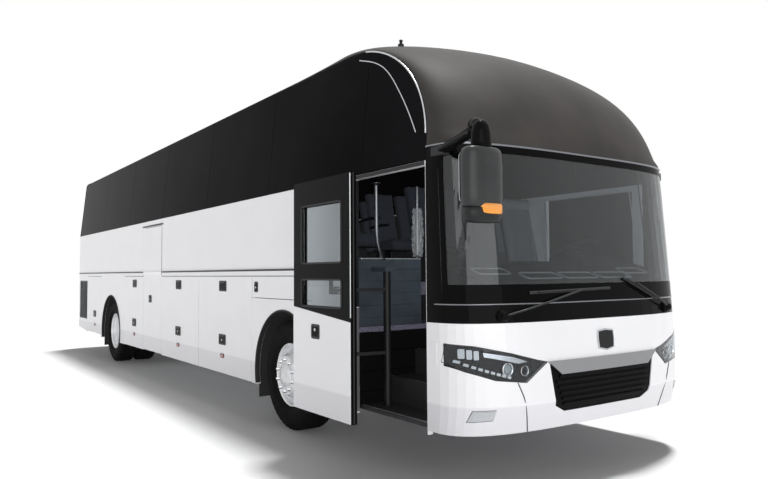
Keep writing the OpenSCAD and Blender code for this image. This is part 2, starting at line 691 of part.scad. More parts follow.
rim_profile = let (r = seat_r, a = bead_a) [[r + 12, -a - 10], [r + 12, -a], [r, -a], [r, -70],
    [r - 24, -40], [r - 24, 50], [r, 80], [r, a], [r + 12, a], [r + 12, a + 10], [r + 2, a + 10],
    [r - 9, a - 6], [r - 9, 84], [r - 33, 54], [r - 33, -44], [r - 9, -74], [r - 9, -a + 6],
    [r + 2, -a - 10]];
disc_face = 169;
disc_profile = let (r = seat_r - 33) [[r + 1, 20], [r + 1, 36], [218, 118], [182, disc_face],
    [90, disc_face], [90, disc_face - 14], [174, disc_face - 14], [206, 108], [r - 8, 20]];
hand_hole_d = 52;
module rim_and_disc() {
    rotate_extrude($fn = 96) polygon(rim_profile);
    difference() {
        rotate_extrude($fn = 96) polygon(disc_profile);
        for (i = [0 : 9]) rotate(36 * i) translate([222, 0, 0]) cylinder(d = hand_hole_d, h = 300);
    }
}
module hub(len, flange, cap) {
    difference() {
        union() {
            cylinder(d = 200, h = flange);
            cylinder(d = 140, h = len);
        }
        translate([0, 0, -1]) cylinder(d = stub_d + 2 * run_fit, h = len - cap + 1);
    }
}
module on_axle(v, x) { at_v(v) translate([x, 0, wheel_r]) rotate([0, 90, 0]) children(); }
module tyre() {
    color("#141414") rotate_extrude($fn = 120) difference() {
        polygon(tyre_profile);
        polygon(tyre_hollow);
    }
}
hub_in = 12;
module front_wheel() {
    color("#e8e8ea") on_axle(front_axle_v, tyre_x) {
        rim_and_disc();
        translate([0, 0, -hub_in]) hub(disc_face + 20 + hub_in, disc_face + hub_in - 5, 30);
    }
}
module twin_wheels() {
    color("#e8e8ea") {
        on_axle(rear_axle_v, tyre_x) mirror([0, 0, 1]) rim_and_disc();
        on_axle(rear_axle_v, tyre_x - twin_pitch) rim_and_disc();
        on_axle(rear_axle_v, twin_x - 60) hub(180, 120, 25);
    }
}
module front_wheel_left() { front_wheel(); }
module front_wheel_right() { mirror([1, 0, 0]) front_wheel(); }
module front_tyre_left() { on_axle(front_axle_v, tyre_x) tyre(); }
module front_tyre_right() { mirror([1, 0, 0]) front_tyre_left(); }
module rear_wheels_left() { twin_wheels(); }
module rear_wheels_right() { mirror([1, 0, 0]) twin_wheels(); }
module rear_tyres_left() {
    for (x = [tyre_x, tyre_x - twin_pitch]) on_axle(rear_axle_v, x) tyre();
}
module rear_tyres_right() { mirror([1, 0, 0]) rear_tyres_left(); }
module engine_block() {
    color("#55504a") box(-rail_x + rail_w / 2 + fit, rail_x - rail_w / 2 - fit, rear_beams[1] + 300,
                         deck_end_v - 300, 480, 1250);
}
// ---- Cab and saloon ----
dash_half = 1180;
dash_v = 760;
dash_z = 1175;
dash_profile = [[150, dash_z], [dash_v, dash_z], [dash_v, 1540], [640, 1575], [400, 1510], [170, 1420]];
dash_right_v = 470;
module dashboard() {
    color("#303236") difference() {
        union() {
            intersection() {
                translate([0, 0, dash_z]) linear_extrude(450)
                    polygon(concat([[-dash_half, nose_y + dash_v]], [for (s = range(-0.8, 0.8, 24))
                        let (p = shell_point(nose_station(1290), [1, 0], s, 70)) [p[0], p[1]]],
                        [[dash_half, nose_y + dash_v]]));
                side_plate(-dash_half - 1, dash_half + 1) polygon(dash_profile);
            }
            box(-300, 1000, 330, 420, cab_z + fit, dash_z + 1);
            at_v(600) translate([wheel_x - 260, 0, 1520]) rotate([0, 90, 0]) cylinder(r = 110, h = 520);
        }
        box(-1300, -steps_x + 40, dash_right_v, 900, 1000, 1700);
        column(column_d + 1.6);
    }
}
column_d = 50;
wheel_x = 620;
wheel_z = 1665;
wheel_tilt = 25;
column_len = (wheel_z - cab_z - fit - column_d / 2 * sin(wheel_tilt)) / cos(wheel_tilt);
module at_wheel() {
    at_v(790) translate([wheel_x, 0, wheel_z]) rotate([-wheel_tilt, 0, 0]) children();
}
module column(d) { at_wheel() translate([0, 0, -column_len]) cylinder(d = d, h = column_len - 8); }
module steering_wheel() {
    color("#222222") {
        at_wheel() {
            rotate_extrude() translate([215, 0]) circle(15);
            for (a = [90, 210, 330]) rotate(a) translate([30, -15, -8]) cube([180, 30, 12]);
            translate([0, 0, -20]) cylinder(d = 120, h = 30);
        }
        column(column_d);
    }
}
function seat_profile(top) = [[0, top - 100], [20, top], [420, top - 25], [560, 1090], [620, 1120],
    [660, 1090], [520, top - 50], [480, top - 120], [340, top - 130], [340, 0], [180, 0],
    [180, top - 120]];
module seat(x0, x1, v, z, top = 480) {
    translate([0, 0, z + fit]) side_plate(x0, x1) translate([v, 0]) polygon(seat_profile(top));
}
module driver_seat() { color("#4a4c50") seat(wheel_x - 250, wheel_x + 250, 900, cab_z, 400); }
seat_pitch = 800;
first_row_v = 2320;
seat_x = [330, 1195];
module passenger_seats() {
    color("#4d5568") for (v = [first_row_v : seat_pitch : deck_end_v - 750]) {
        seat(seat_x[0], seat_x[1], v, floor_z);
        if (v + 700 < well[0] || v > well[1]) seat(-seat_x[1], -seat_x[0], v, floor_z);
    }
}
pillar_spigot_d = 30;
module partitions() {
    color("#7d8894") {
        difference() {
            union() {
                box(-floor_in, -560, door_end_v + 40, door_end_v + 70, cab_z + fit, 1600);
                box(pivot_x - 40, pivot_x + 40, pivot_v - 40, door_end_v + 41, pillar_top + fit,
                    pillar_top + 35);
            }
            at_v(pivot_v) translate([pivot_x, 0, pillar_top - 1])
                cylinder(d = pillar_spigot_d + 2 * run_fit, h = 60);
        }
        box(345, floor_in - 40, deck_v - 60, deck_v - 30, cab_z + fit, 2250);
    }
}
// ---- Entrance door and its pillar ----
leaf_v = [door_v + leaf_gap, door_end_v - leaf_rear_gap];
hinge_in = 45;
hinge_fwd = 80;
swing = sqrt(door_out * door_out + door_back * door_back);
closed_pin = [-hw + leaf_t + hinge_in, (leaf_v[0] + leaf_v[1]) / 2 - hinge_fwd];
open_pin = closed_pin + [-door_out, door_back];
pivot = (closed_pin + open_pin) / 2 + pillar_off * [door_back, door_out] / swing;
pivot_x = pivot[0];
pivot_v = pivot[1];
pillar_top = 1500;
arm_h = 30;
pin_d = 24;
door_windows = [[132, 752, 1570, 2035], [132, 752, 1225, 1440]];
module open_leaf() { translate([-door_out, door_back, 0]) children(); }
module front_door() {
    color("white") open_leaf() {
        side_plate(-hw, -hw + leaf_t) difference() {
            rect(leaf_v[0], leaf_v[1], door_z, door_top_z - leaf_gap);
            for (w = door_windows) rect(leaf_v[0] + w[0], leaf_v[0] + w[1], w[2], w[3]);
        }
        box(-hw + leaf_t - 1, -hw + leaf_t + 8, closed_pin[1] - 25, closed_pin[1] + 25,
            arm_zs[1] - 30, door_windows[1][3] + 30);
        for (z = arm_zs) {
            for (dz = [-arm_h / 2 - 15, arm_h / 2 + 5])
                box(-hw + leaf_t - 1, closed_pin[0] + 22, closed_pin[1] - 25, closed_pin[1] + 25,
                    z + dz, z + dz + 10);
            at_v(closed_pin[1]) translate([closed_pin[0], 0, z - arm_h / 2 - 15])
                cylinder(d = pin_d, h = arm_h + 30);
        }
    }
}
module front_door_glass() {
    color("#3a4146") open_leaf() for (w = door_windows)
        side_plate(-hw + 20, -hw + 26) rect(leaf_v[0] + w[0] + fit, leaf_v[0] + w[1] - fit,
                                            w[2] + fit, w[3] - fit);
}
module door_pillar() {
    arm = open_pin - pivot;
    color("#1c1c1c") difference() {
        union() {
            at_v(pivot_v) translate([pivot_x, 0, 0]) {
                translate([0, 0, front_tread_z + fit])
                    cylinder(d = pillar_d, h = pillar_top - front_tread_z - 2 * fit);
                translate([0, 0, pillar_top - 50]) cylinder(d = pillar_spigot_d, h = 80);
            }
            for (z = arm_zs) {
                at_v(pivot_v) translate([pivot_x, 0, z - arm_h / 2 + 2])
                    rotate(atan2(arm[1], arm[0])) translate([7, -18, 0])
                        cube([norm(arm) - 9, 36, arm_h - 4]);
                at_v(open_pin[1]) translate([open_pin[0], 0, z - arm_h / 2])
                    cylinder(d = 50, h = arm_h);
            }
        }
        at_v(open_pin[1]) translate([open_pin[0], 0, 0])
            cylinder(d = pin_d + 2 * run_fit, h = 2000);
    }
}
// ---- Flaps ----
module flap(v0, v1, z0, z1) {
    side_plate(hw - flap_t, hw) rect(v0 + flap_gap, v1 - flap_gap, z0, z1 - flap_gap);
}
module right() { mirror([1, 0, 0]) children(); }
module mid_door() {
    color("white") right() {
        flap(well[0], well[1], door_z, mid_top_z);
        belt(well[0] + flap_gap, well[1] - flap_gap, -1);
    }
}
flap_z = skirt_z + 5;
module fuel_flap() { color("white") right() flap(fuel_v, bay_vs[0], fuel_z + flap_gap, flap_top_z); }
module luggage_flap_right_1() { color("white") right() flap(bay_vs[0], bay_vs[1], flap_z, flap_top_z); }
module luggage_flap_right_2() { color("white") right() flap(bay_vs[1], bay_vs[2], flap_z, flap_top_z); }
module luggage_flap_right_3() { color("white") right() flap(bay_vs[3], bay_vs[4], flap_z, flap_top_z); }
module luggage_flap_left_1() { color("white") flap(bay_vs[0], bay_vs[1], flap_z, flap_top_z); }
module luggage_flap_left_2() { color("white") flap(bay_vs[1], bay_vs[2], flap_z, flap_top_z); }
module luggage_flap_left_3() { color("white") flap(bay_vs[2], bay_vs[4], flap_z, flap_top_z); }
module engine_flap_right() {
    color("white") right() flap(engine_vs[0], engine_vs[1], flap_z + 40, flap_top_z);
}
module engine_flap_left() { color("white") flap(engine_vs[0], engine_vs[1], flap_z + 40, flap_top_z); }
module louvres() {
    color("#26282a") both_sides() {
        side_plate(inner_x, hw - 6) difference() {
            rect(louvre_vs[0] + fit, louvre_vs[1] - fit, 640 + fit, 1380 - fit);
            for (v = [louvre_vs[0] + 30 : 50 : louvre_vs[1] - 55]) rect(v, v + 28, 670, 1350);
        }
    }
}
// ---- Mirrors and wipers ----
mirror_deep = 130;
mirror_x = [1362, 1652];
module rod(a, b, d) {
    w = b - a;
    translate(a) rotate([0, acos(w[2] / norm(w)), atan2(w[1], w[0])]) cylinder(d = d, h = norm(w));
    translate(b) sphere(d = d + 4);
}
// An arm and head; v0 is the head's front edge and bend_v the arm's elbow
module mirror_arm(v0, bend_v) {
    mx = (mirror_x[0] + mirror_x[1]) / 2;
    bend = [1440, nose_y + bend_v, 2400];
    top = [mx, nose_y + v0 + mirror_deep / 2, 2330];
    box(mirror_x[0], mirror_x[1], v0, v0 + mirror_deep, 1774, 2220);
    rod(bend, top, 46);
    rod(top, [mx, top[1], 2215], 46);
    outside_nose() {
        rod([1225, nose_y + 400, 2328], bend, 46);
        box(1180, 1262, 330, 470, 2290, 2365);
    }
}
module mirrors() {
    color("#2a2c2e") {
        mirror([1, 0, 0]) mirror_arm(-mirror_reach, -60);
        mirror_arm(640, 440);
    }
}
module bar_between(a, b, d) {
    w = b - a;
    translate(a) rotate([0, acos(w[2] / norm(w)), atan2(w[1], w[0])]) translate([-d / 2, -d / 2, 0])
        cube([d, d, norm(w)]);
}
// A point on the windscreen's outside, and how far behind the nose it lies
function screen_v(x, z) = let (a = pow(abs(x) / hw, nose_square), st = nose_station(z))
    lerp(st[0][0], st[1][0], 1 - pow(1 - a, 1 / nose_square));
function off_screen(x, z, out) = [x, nose_y + screen_v(x, z) - out, z];
// The pivot at (px, pz), the arm's tip at (tx, tz) and the ends of the blade
module wiper(px, pz, tx, tz, b0, b1) {
    outside_nose() at_v(screen_v(px, pz) - 50) translate([px, 0, pz]) rotate([-90, 0, 0])
        cylinder(d = 44, h = 80);
    bar_between(off_screen(px, pz, 40), off_screen(tx, tz, 52), 18);
    bar_between(off_screen(b0[0], b0[1], 36), off_screen(b1[0], b1[1], 36), 14);
    bar_between(off_screen(tx, tz, 58), off_screen(tx, tz, 24), 16);
}
module wipers() {
    color("#101010") {
        wiper(-965, 1192, -271, 1354, [-744, 1344], [97, 1364]);
        wiper(860, 1196, 390, 1393, [270, 1440], [700, 1270]);
    }
}

side_wall_right();
side_wall_left();
belt_rails();
hinge_rods();
window_frames();
side_glass();
roof_shell();
roof_units();
front_dome();
front_panel();
front_lamps();
front_grille();
grille_bar();
windscreen();
windscreen_surround();
rear_panel();
rear_cap();
rear_window();
tail_lamps();
engine_lid();
floor_deck();
luggage_bay();
door_steps();
underframe();
wheel_arches();
mudflaps();
front_axle();
knuckle_left();
knuckle_right();
rear_axle();
front_wheel_left();
front_wheel_right();
front_tyre_left();
front_tyre_right();
rear_wheels_left();
rear_wheels_right();
rear_tyres_left();
rear_tyres_right();
engine_block();
dashboard();
steering_wheel();
driver_seat();
passenger_seats();
partitions();
front_door();
front_door_glass();
door_pillar();
mid_door();
fuel_flap();
luggage_flap_right_1();
luggage_flap_right_2();
luggage_flap_right_3();
luggage_flap_left_1();
luggage_flap_left_2();
luggage_flap_left_3();
engine_flap_right();
engine_flap_left();
louvres();
mirrors();
wipers();
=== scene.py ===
# %% [markdown]
# # A touring coach, finished around its CAD frame
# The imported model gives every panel, wheel and joint in metres. This lesson adds what
# a construction model lacks: paint, glass, rubber, lamps, wipers, handles and seats.

# %% Load the frame
import math
import bmesh
import bpy
from mathutils import Matrix, Vector


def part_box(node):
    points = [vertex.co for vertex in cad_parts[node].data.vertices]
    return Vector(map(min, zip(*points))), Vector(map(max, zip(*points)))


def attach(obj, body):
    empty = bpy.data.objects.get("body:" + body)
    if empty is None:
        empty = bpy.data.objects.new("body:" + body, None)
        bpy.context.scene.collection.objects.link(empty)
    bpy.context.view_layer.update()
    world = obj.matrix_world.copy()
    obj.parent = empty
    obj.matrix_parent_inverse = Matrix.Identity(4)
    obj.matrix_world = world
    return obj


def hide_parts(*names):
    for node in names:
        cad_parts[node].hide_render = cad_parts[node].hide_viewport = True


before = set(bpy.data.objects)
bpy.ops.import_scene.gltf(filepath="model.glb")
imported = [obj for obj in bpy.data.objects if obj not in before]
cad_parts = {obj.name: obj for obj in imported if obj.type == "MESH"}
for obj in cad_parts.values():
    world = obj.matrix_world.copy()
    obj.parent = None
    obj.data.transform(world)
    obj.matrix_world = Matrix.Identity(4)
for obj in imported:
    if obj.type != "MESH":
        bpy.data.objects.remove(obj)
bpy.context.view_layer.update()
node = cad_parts
scene = bpy.context.scene
print("CAD nodes:", len(node))

# %% [markdown]
# ## Measures the whole coach shares
# The side stands 1.275 m from the middle and leans in above the window line. The nose is
# a squared oval in plan. Writing both as small functions lets lamps, seams and wipers
# lie exactly on the panels, which is surer than placing each by eye.

# %% Body measures
HALF = 1.275
EDGE_X = 1.2735
NOSE_Y = -5.82
BAND_Z = 2.277
CANT_Z = 3.338
LEAN = 0.107 / (CANT_Z - BAND_Z)
SQUARE = 3.2
WRAP = 0.52
SIDES = ((-1, "right"), (1, "left"))


def side_x(z):
    return HALF - max(0.0, z - BAND_Z) * LEAN


def at(x, v, z):
    """A point given by its distance v behind the nose."""
    return Vector((x, NOSE_Y + v, z))


def nose_v(x, z):
    tuck = 0.06 * (0.6 - z) / 0.2 if z < 0.6 else 0.0
    lean = 0.15 * ((z - 0.9) / 1.472) ** 1.15 if z > 0.9 else 0.0
    across = min(abs(x) / side_x(z), 1.0) ** SQUARE
    return tuck + lean + (WRAP - tuck - lean) * (1 - (1 - across) ** (1 / SQUARE))


def on_nose(x, z, out=0.0):
    x = max(-EDGE_X, min(EDGE_X, x))
    step = 0.002
    slope_x = (nose_v(x + step, z) - nose_v(x - step, z)) / (2 * step)
    slope_z = (nose_v(x, z + step) - nose_v(x, z - step)) / (2 * step)
    normal = Vector((slope_x, -1, slope_z)).normalized()
    return at(x, nose_v(x, z), z) + normal * out


def on_side(v, z, out=0.0, side=-1):
    return at(side * (side_x(z) + out), v, z)


print("nose centre at", [round(c, 3) for c in on_nose(0, 1.0)])

# %% [markdown]
# ## Helpers for meshes
# A few builders cover every piece here: a skin patch that follows a curved panel, a
# round tube along a smooth path, a turned profile, and a soft-edged box. Bevels give
# every edge the small radius that real moulded and pressed parts have.

# %% Mesh helpers
def keep(obj, body, material, smooth=True):
    obj.data.materials.clear()
    obj.data.materials.append(material)
    if obj.type == "MESH" and smooth:
        obj.data.shade_smooth()
    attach(obj, body)
    return obj


def mesh_object(name, verts, faces):
    data = bpy.data.meshes.new(name)
    data.from_pydata([tuple(v) for v in verts], [], faces)
    data.update()
    obj = bpy.data.objects.new(name, data)
    scene.collection.objects.link(obj)
    return obj


def face_outward(obj, crease=None):
    """Turns all faces outwards; edges bent by crease radians or more stay sharp."""
    fix = bmesh.new()
    fix.from_mesh(obj.data)
    bmesh.ops.recalc_face_normals(fix, faces=fix.faces)
    if crease is not None:
        for edge in fix.edges:
            edge.smooth = edge.calc_face_angle(0.0) < crease
    fix.to_mesh(obj.data)
    fix.free()


def soften(obj, width, segments=2):
    bevel = obj.modifiers.new("edge radius", "BEVEL")
    bevel.width = width
    bevel.segments = segments
    bevel.limit_method = "ANGLE"
    bevel.angle_limit = math.radians(35)
    bevel.harden_normals = True
    return obj


def skin(name, outline, place, out, thick, body, material, cell=0.04, edge=0.0):
    """A plate with this outline, laid on the surface that place() gives."""
    sheet = bmesh.new()
    sheet.faces.new([sheet.verts.new((u, w, 0)) for u, w in outline])
    for axis in (0, 1):
        values = [p[axis] for p in outline]
        count = max(1, int((max(values) - min(values)) / cell))
        for i in range(1, count):
            cut = min(values) + (max(values) - min(values)) * i / count
            co = (cut, 0, 0) if axis == 0 else (0, cut, 0)
            no = (1, 0, 0) if axis == 0 else (0, 1, 0)
            geometry = sheet.verts[:] + sheet.edges[:] + sheet.faces[:]
            bmesh.ops.bisect_plane(sheet, geom=geometry, plane_co=co, plane_no=no)
    bmesh.ops.triangulate(sheet, faces=sheet.faces[:])
    sheet.verts.index_update()
    flat = [(v.co.x, v.co.y) for v in sheet.verts]
    top = [place(u, w, out) for u, w in flat]
    low = [place(u, w, out - thick) for u, w in flat]
    n = len(flat)
    faces = [[v.index for v in f.verts] for f in sheet.faces]
    rim = [e for e in sheet.edges if len(e.link_faces) == 1]
    all_faces = faces + [[n + i for i in reversed(f)] for f in faces]
    for e in rim:
        loop = e.link_loops[0]
        a, b = loop.vert.index, loop.link_loop_next.vert.index
        all_faces.append([b, a, n + a, n + b])
    sheet.free()
    obj = mesh_object(name, top + low, all_faces)
    face_outward(obj)
    if edge:
        soften(obj, edge)
    return keep(obj, body, material, smooth=False)


def smooth_path(points, rounds=3):
    points = [Vector(p) for p in points]
    for _ in range(rounds):
        cut = [points[0]]
        for a, b in zip(points, points[1:]):
            cut += [a.lerp(b, 0.25), a.lerp(b, 0.75)]
        points = cut + [points[-1]]
    return points


def tube(name, points, radius, body, material, sides=12, flat=1.0):
    """A closed round rod along the points; flat squashes it along Z or up the section."""
    points = [Vector(p) for p in points]
    verts, faces = [], []
    up = Vector((0, 0, 1))
    first = (points[1] - points[0]).normalized()
    if abs(first.dot(up)) > 0.9:
        up = Vector((0, 1, 0))
    for i, p in enumerate(points):
        ahead = (points[min(i + 1, len(points) - 1)] - points[max(i - 1, 0)]).normalized()
        across = ahead.cross(up).normalized()
        up = across.cross(ahead).normalized()
        for k in range(sides):
            a = 2 * math.pi * k / sides
            verts.append(p + (across * math.cos(a) + up * math.sin(a) * flat) * radius)
    for i in range(len(points) - 1):
        for k in range(sides):
            a, b = i * sides + k, i * sides + (k + 1) % sides
            faces.append([a, b, b + sides, a + sides])
    last = (len(points) - 1) * sides
    faces += [list(range(sides))[::-1], [last + k for k in range(sides)]]
    obj = mesh_object(name, verts, faces)
    soften(obj, radius * 0.3)
    return keep(obj, body, material)


def lathe(name, profile, centre, axis, body, material, sides=48, closed=False, cut=None):
    """Turns (along, radius) points about an axis through centre."""
    axis = Vector(axis).normalized()
    across = axis.orthogonal().normalized()
    up = axis.cross(across)
    verts, faces = [], []
    for i in range(sides):
        a = 2 * math.pi * i / sides
        spoke = across * math.cos(a) + up * math.sin(a)
        for k, (along, radius) in enumerate(profile):
            depth = cut(i, k) if cut else 0.0
            verts.append(Vector(centre) + axis * along + spoke * (radius - depth))
    m = len(profile)
    spans = m if closed else m - 1
    for i in range(sides):
        for k in range(spans):
            a, b = i * m + k, i * m + (k + 1) % m
            c, d = ((i + 1) % sides) * m + (k + 1) % m, ((i + 1) % sides) * m + k
            faces.append([a, b, c, d])
    if not closed:
        faces.append([i * m for i in range(sides)])
        faces.append([i * m + m - 1 for i in range(sides)][::-1])
    obj = mesh_object(name, verts, faces)
    face_outward(obj)
    return keep(obj, body, material)


def block(name, low, high, body, material, radius=0.004):
    """A box between two corners with rounded edges."""
    (x0, y0, z0), (x1, y1, z1) = low, high
    verts = [(x, y, z) for z in (z0, z1)
             for x, y in ((x0, y0), (x1, y0), (x1, y1), (x0, y1))]
    faces = [[3, 2, 1, 0], [4, 5, 6, 7], [0, 1, 5, 4], [1, 2, 6, 5], [2, 3, 7, 6], [3, 0, 4, 7]]
    obj = mesh_object(name, verts, faces)
    soften(obj, radius, 3)
    return keep(obj, body, material)


def rounded(u0, u1, w0, w1, radius, steps=4):
    """The outline of a rectangle with round corners."""
    corners = [(u1 - radius, w0 + radius, -90), (u1 - radius, w1 - radius, 0),
               (u0 + radius, w1 - radius, 90), (u0 + radius, w0 + radius, 180)]
    points = []
    for cu, cw, start in corners:
        for i in range(steps + 1):
            a = math.radians(start + 90 * i / steps)
            points.append((cu + radius * math.cos(a), cw + radius * math.sin(a)))
    return points


print("mesh helpers ready")

# %% [markdown]
# ## Helpers for materials
# Colours are written as sRGB hex, the way a paint card gives them, and one function turns
# them to the linear numbers the renderer needs. One more adds a node with its settings
# and links. Patterns use object coordinates, so a flap's finish moves with the flap.

# %% Material helpers
def linear(code):
    def channel(c):
        return c / 12.92 if c <= 0.04045 else ((c + 0.055) / 1.055) ** 2.4
    return (*[channel(int(code[i:i + 2], 16) / 255) for i in (1, 3, 5)], 1.0)


def add(tree, kind, links=None, **settings):
    """Adds one node; links maps an input to another node's output."""
    made = tree.nodes.new(kind)
    for key, value in settings.items():
        if hasattr(made, key):
            setattr(made, key, value)
        else:
            made.inputs[key.replace("_", " ")].default_value = value
    for key, output in (links or {}).items():
        tree.links.new(output, made.inputs[key])
    return made


def finish(name, colour, roughness, metallic=0.0, coat=0.0, **sockets):
    material = bpy.data.materials.new(name)
    material.use_nodes = True
    shader = material.node_tree.nodes["Principled BSDF"]
    shader.inputs["Base Color"].default_value = linear(colour)
    shader.inputs["Roughness"].default_value = roughness
    shader.inputs["Metallic"].default_value = metallic
    shader.inputs["Coat Weight"].default_value = coat
    for key, value in sockets.items():
        shader.inputs[key.replace("_", " ")].default_value = value
    return material


def place_of(material):
    return add(material.node_tree, "ShaderNodeTexCoord").outputs["Object"]


def mottle(material, low, high, scale, detail=4.0):
    """Colour that drifts between two hex values, scale cycles to the metre."""
    tree = material.node_tree
    noise = add(tree, "ShaderNodeTexNoise", {"Vector": place_of(material)},
                Scale=scale, Detail=detail)
    ramp = add(tree, "ShaderNodeValToRGB", {"Fac": noise.outputs["Fac"]})
    for stop, spot, code in zip(ramp.color_ramp.elements, (0.35, 0.65), (low, high)):
        stop.position, stop.color = spot, linear(code)
    shader = tree.nodes["Principled BSDF"]
    tree.links.new(ramp.outputs["Color"], shader.inputs["Base Color"])


def uneven(material, low, high, scale):
    """Roughness that drifts between two values, as wiped and weathered surfaces do."""
    tree = material.node_tree
    noise = add(tree, "ShaderNodeTexNoise", {"Vector": place_of(material)},
                Scale=scale, Detail=5.0)
    span = add(tree, "ShaderNodeMapRange", {"Value": noise.outputs["Fac"]},
               To_Min=low, To_Max=high)
    tree.links.new(span.outputs["Result"], tree.nodes["Principled BSDF"].inputs["Roughness"])


def grain(material, scale, depth, kind="ShaderNodeTexNoise", stretch=(1, 1, 1)):
    """Fine relief; depth is in metres."""
    tree = material.node_tree
    mapping = add(tree, "ShaderNodeMapping", {"Vector": place_of(material)}, Scale=stretch)
    texture = add(tree, kind, {"Vector": mapping.outputs["Vector"]}, Scale=scale)
    bump = add(tree, "ShaderNodeBump", {"Height": texture.outputs[0]}, Distance=depth,
               Strength=1.0)
    tree.links.new(bump.outputs["Normal"], tree.nodes["Principled BSDF"].inputs["Normal"])


print("linear white:", [round(c, 2) for c in linear("#ffffff")])

# %% [markdown]
# ## Coach paint
# The lower body is sprayed two-pack enamel over steel and fibreglass: nearly white, with
# a clear top coat and the faint orange peel every sprayed panel has. A ramp along Z paints
# shade into the colour: a little greyer from 1.5 m down and a step greyer below about
# 0.58 m, where the skirt sits in shade near the floor. A noise adds faint road film.

# %% Enamel and dome paint
enamel = finish("white_two_pack_enamel", "#f1f1f4", 0.28, coat=0.25, Coat_Roughness=0.06)
tree = enamel.node_tree
where = add(tree, "ShaderNodeSeparateXYZ", {"Vector": place_of(enamel)})
film = add(tree, "ShaderNodeTexNoise", {"Vector": place_of(enamel)}, Scale=3.0, Detail=6.0)
scaled = add(tree, "ShaderNodeMapRange", {"Value": where.outputs["Z"]},
             From_Min=0.3, From_Max=1.5)
# painted shade: this ramp greys the enamel from 1.5 m down, with a step below about 0.58 m
painted_skirt_shade = add(tree, "ShaderNodeValToRGB", {"Fac": scaled.outputs["Result"]})
stops = painted_skirt_shade.color_ramp.elements
stops[0].position, stops[0].color = 0.0, linear("#d6d6da")
stops[1].position, stops[1].color = 1.0, linear("#f1f1f4")
for spot, code in ((0.235, "#dadade"), (0.25, "#ececef")):
    stop = stops.new(spot)
    stop.color = linear(code)
dust = add(tree, "ShaderNodeMapRange", {"Value": film.outputs["Fac"]},
           From_Min=0.4, From_Max=0.75, To_Min=0.0, To_Max=0.06)
# faint road dust mixed over the painted shade
dust_over_painted_shade = add(tree, "ShaderNodeMixRGB", {"Fac": dust.outputs["Result"],
                                       "Color1": painted_skirt_shade.outputs["Color"]})
dust_over_painted_shade.inputs["Color2"].default_value = linear("#b9b4aa")
tree.links.new(dust_over_painted_shade.outputs["Color"], tree.nodes["Principled BSDF"].inputs["Base Color"])
grain(enamel, 90.0, 0.00012)

dome_paint = finish("satin_graphite_enamel", "#312f2e", 0.58, Specular_IOR_Level=0.16)
mottle(dome_paint, "#343231", "#3e3b39", 2.5)
grain(dome_paint, 120.0, 0.00015)
print("paints:", enamel.name, dome_paint.name)

# %% [markdown]
# ## Glass
# Side panes are bonded privacy glass: almost black from outside, with a hard gloss. The
# windscreen is clear laminated glass, faintly grey-green, so the dash shows through. The
# panes differ a little in tint, as real ones from different batches do.

# %% Glass finishes
privacy_glass = finish("privacy_toughened_glass", "#151517", 0.05, IOR=1.52,
                       Specular_IOR_Level=0.006)
mottle(privacy_glass, "#121214", "#1a191b", 0.9)
screen_glass = finish("laminated_windscreen_glass", "#8f979b", 0.0, IOR=1.45,
                      Transmission_Weight=1.0)
door_glass = finish("laminated_door_glass", "#a4acb0", 0.0, IOR=1.45,
                    Transmission_Weight=1.0)
frit = finish("black_ceramic_frit", "#0b0b0c", 0.1, IOR=1.52, Specular_IOR_Level=0.03)
uneven(frit, 0.06, 0.12, 4.0)
print("glass finishes ready")

# %% [markdown]
# ## Trim, rubber and metal
# Satin black powder coat covers arms and frames, gloss black the window surround, and
# moulded EPDM rubber the seals. Bright parts are chromed plastic, and wheels are
# silver-white enamelled steel.

# %% Trim finishes
gloss_black = finish("gloss_black_enamel", "#0d0d0e", 0.14, Specular_IOR_Level=0.04)
uneven(gloss_black, 0.09, 0.2, 5.0)
satin_black = finish("satin_black_powder_coat", "#121315", 0.42,
                     Specular_IOR_Level=0.3)
grain(satin_black, 700.0, 0.0002)
black_abs = finish("textured_black_abs", "#090909", 0.55, Specular_IOR_Level=0.06)
grain(black_abs, 500.0, 0.0003, "ShaderNodeTexVoronoi")
seal_rubber = finish("epdm_seal_rubber", "#1a1a1a", 0.7)
grain(seal_rubber, 300.0, 0.0003)
tyre_rubber = finish("tyre_rubber", "#0c0c0c", 0.8, Specular_IOR_Level=0.08)
mottle(tyre_rubber, "#0a0a0a", "#121111", 14.0)
grain(tyre_rubber, 260.0, 0.0006)
chrome = finish("satin_chromed_abs", "#b9bbbe", 0.24, metallic=1.0)
uneven(chrome, 0.18, 0.3, 30.0)
satin_nickel = finish("satin_nickel_plated_abs", "#8f9092", 0.3, metallic=1.0)
uneven(satin_nickel, 0.24, 0.38, 12.0)
bright_chrome = finish("bright_chrome_plate", "#d9dadc", 0.08, metallic=1.0)
uneven(bright_chrome, 0.05, 0.12, 20.0)
wheel_enamel = finish("silver_white_wheel_enamel", "#dcdde0", 0.32, metallic=0.15, coat=0.3)
mottle(wheel_enamel, "#cfd0d3", "#e6e7ea", 11.0)
aluminium = finish("mill_aluminium_trim", "#c3c5c7", 0.3, metallic=1.0)
grain(aluminium, 900.0, 0.0001, stretch=(1, 0.05, 1))
chassis_paint = finish("chassis_black_paint", "#191a1b", 0.55)
mottle(chassis_paint, "#141414", "#262422", 9.0)
arch_liner = finish("moulded_arch_liner", "#101010", 0.85)
grain(arch_liner, 180.0, 0.0008)
print("trim finishes ready")

# %% [markdown]
# ## Lamps and cabin finishes
# Lamp covers are clear polycarbonate over black bezels and bright reflectors; the amber
# and red lenses are tinted acrylic. Inside, the dash is grained PVC, the floor is
# flecked vinyl, and the seats are woven cloth, still in their clear factory covers.

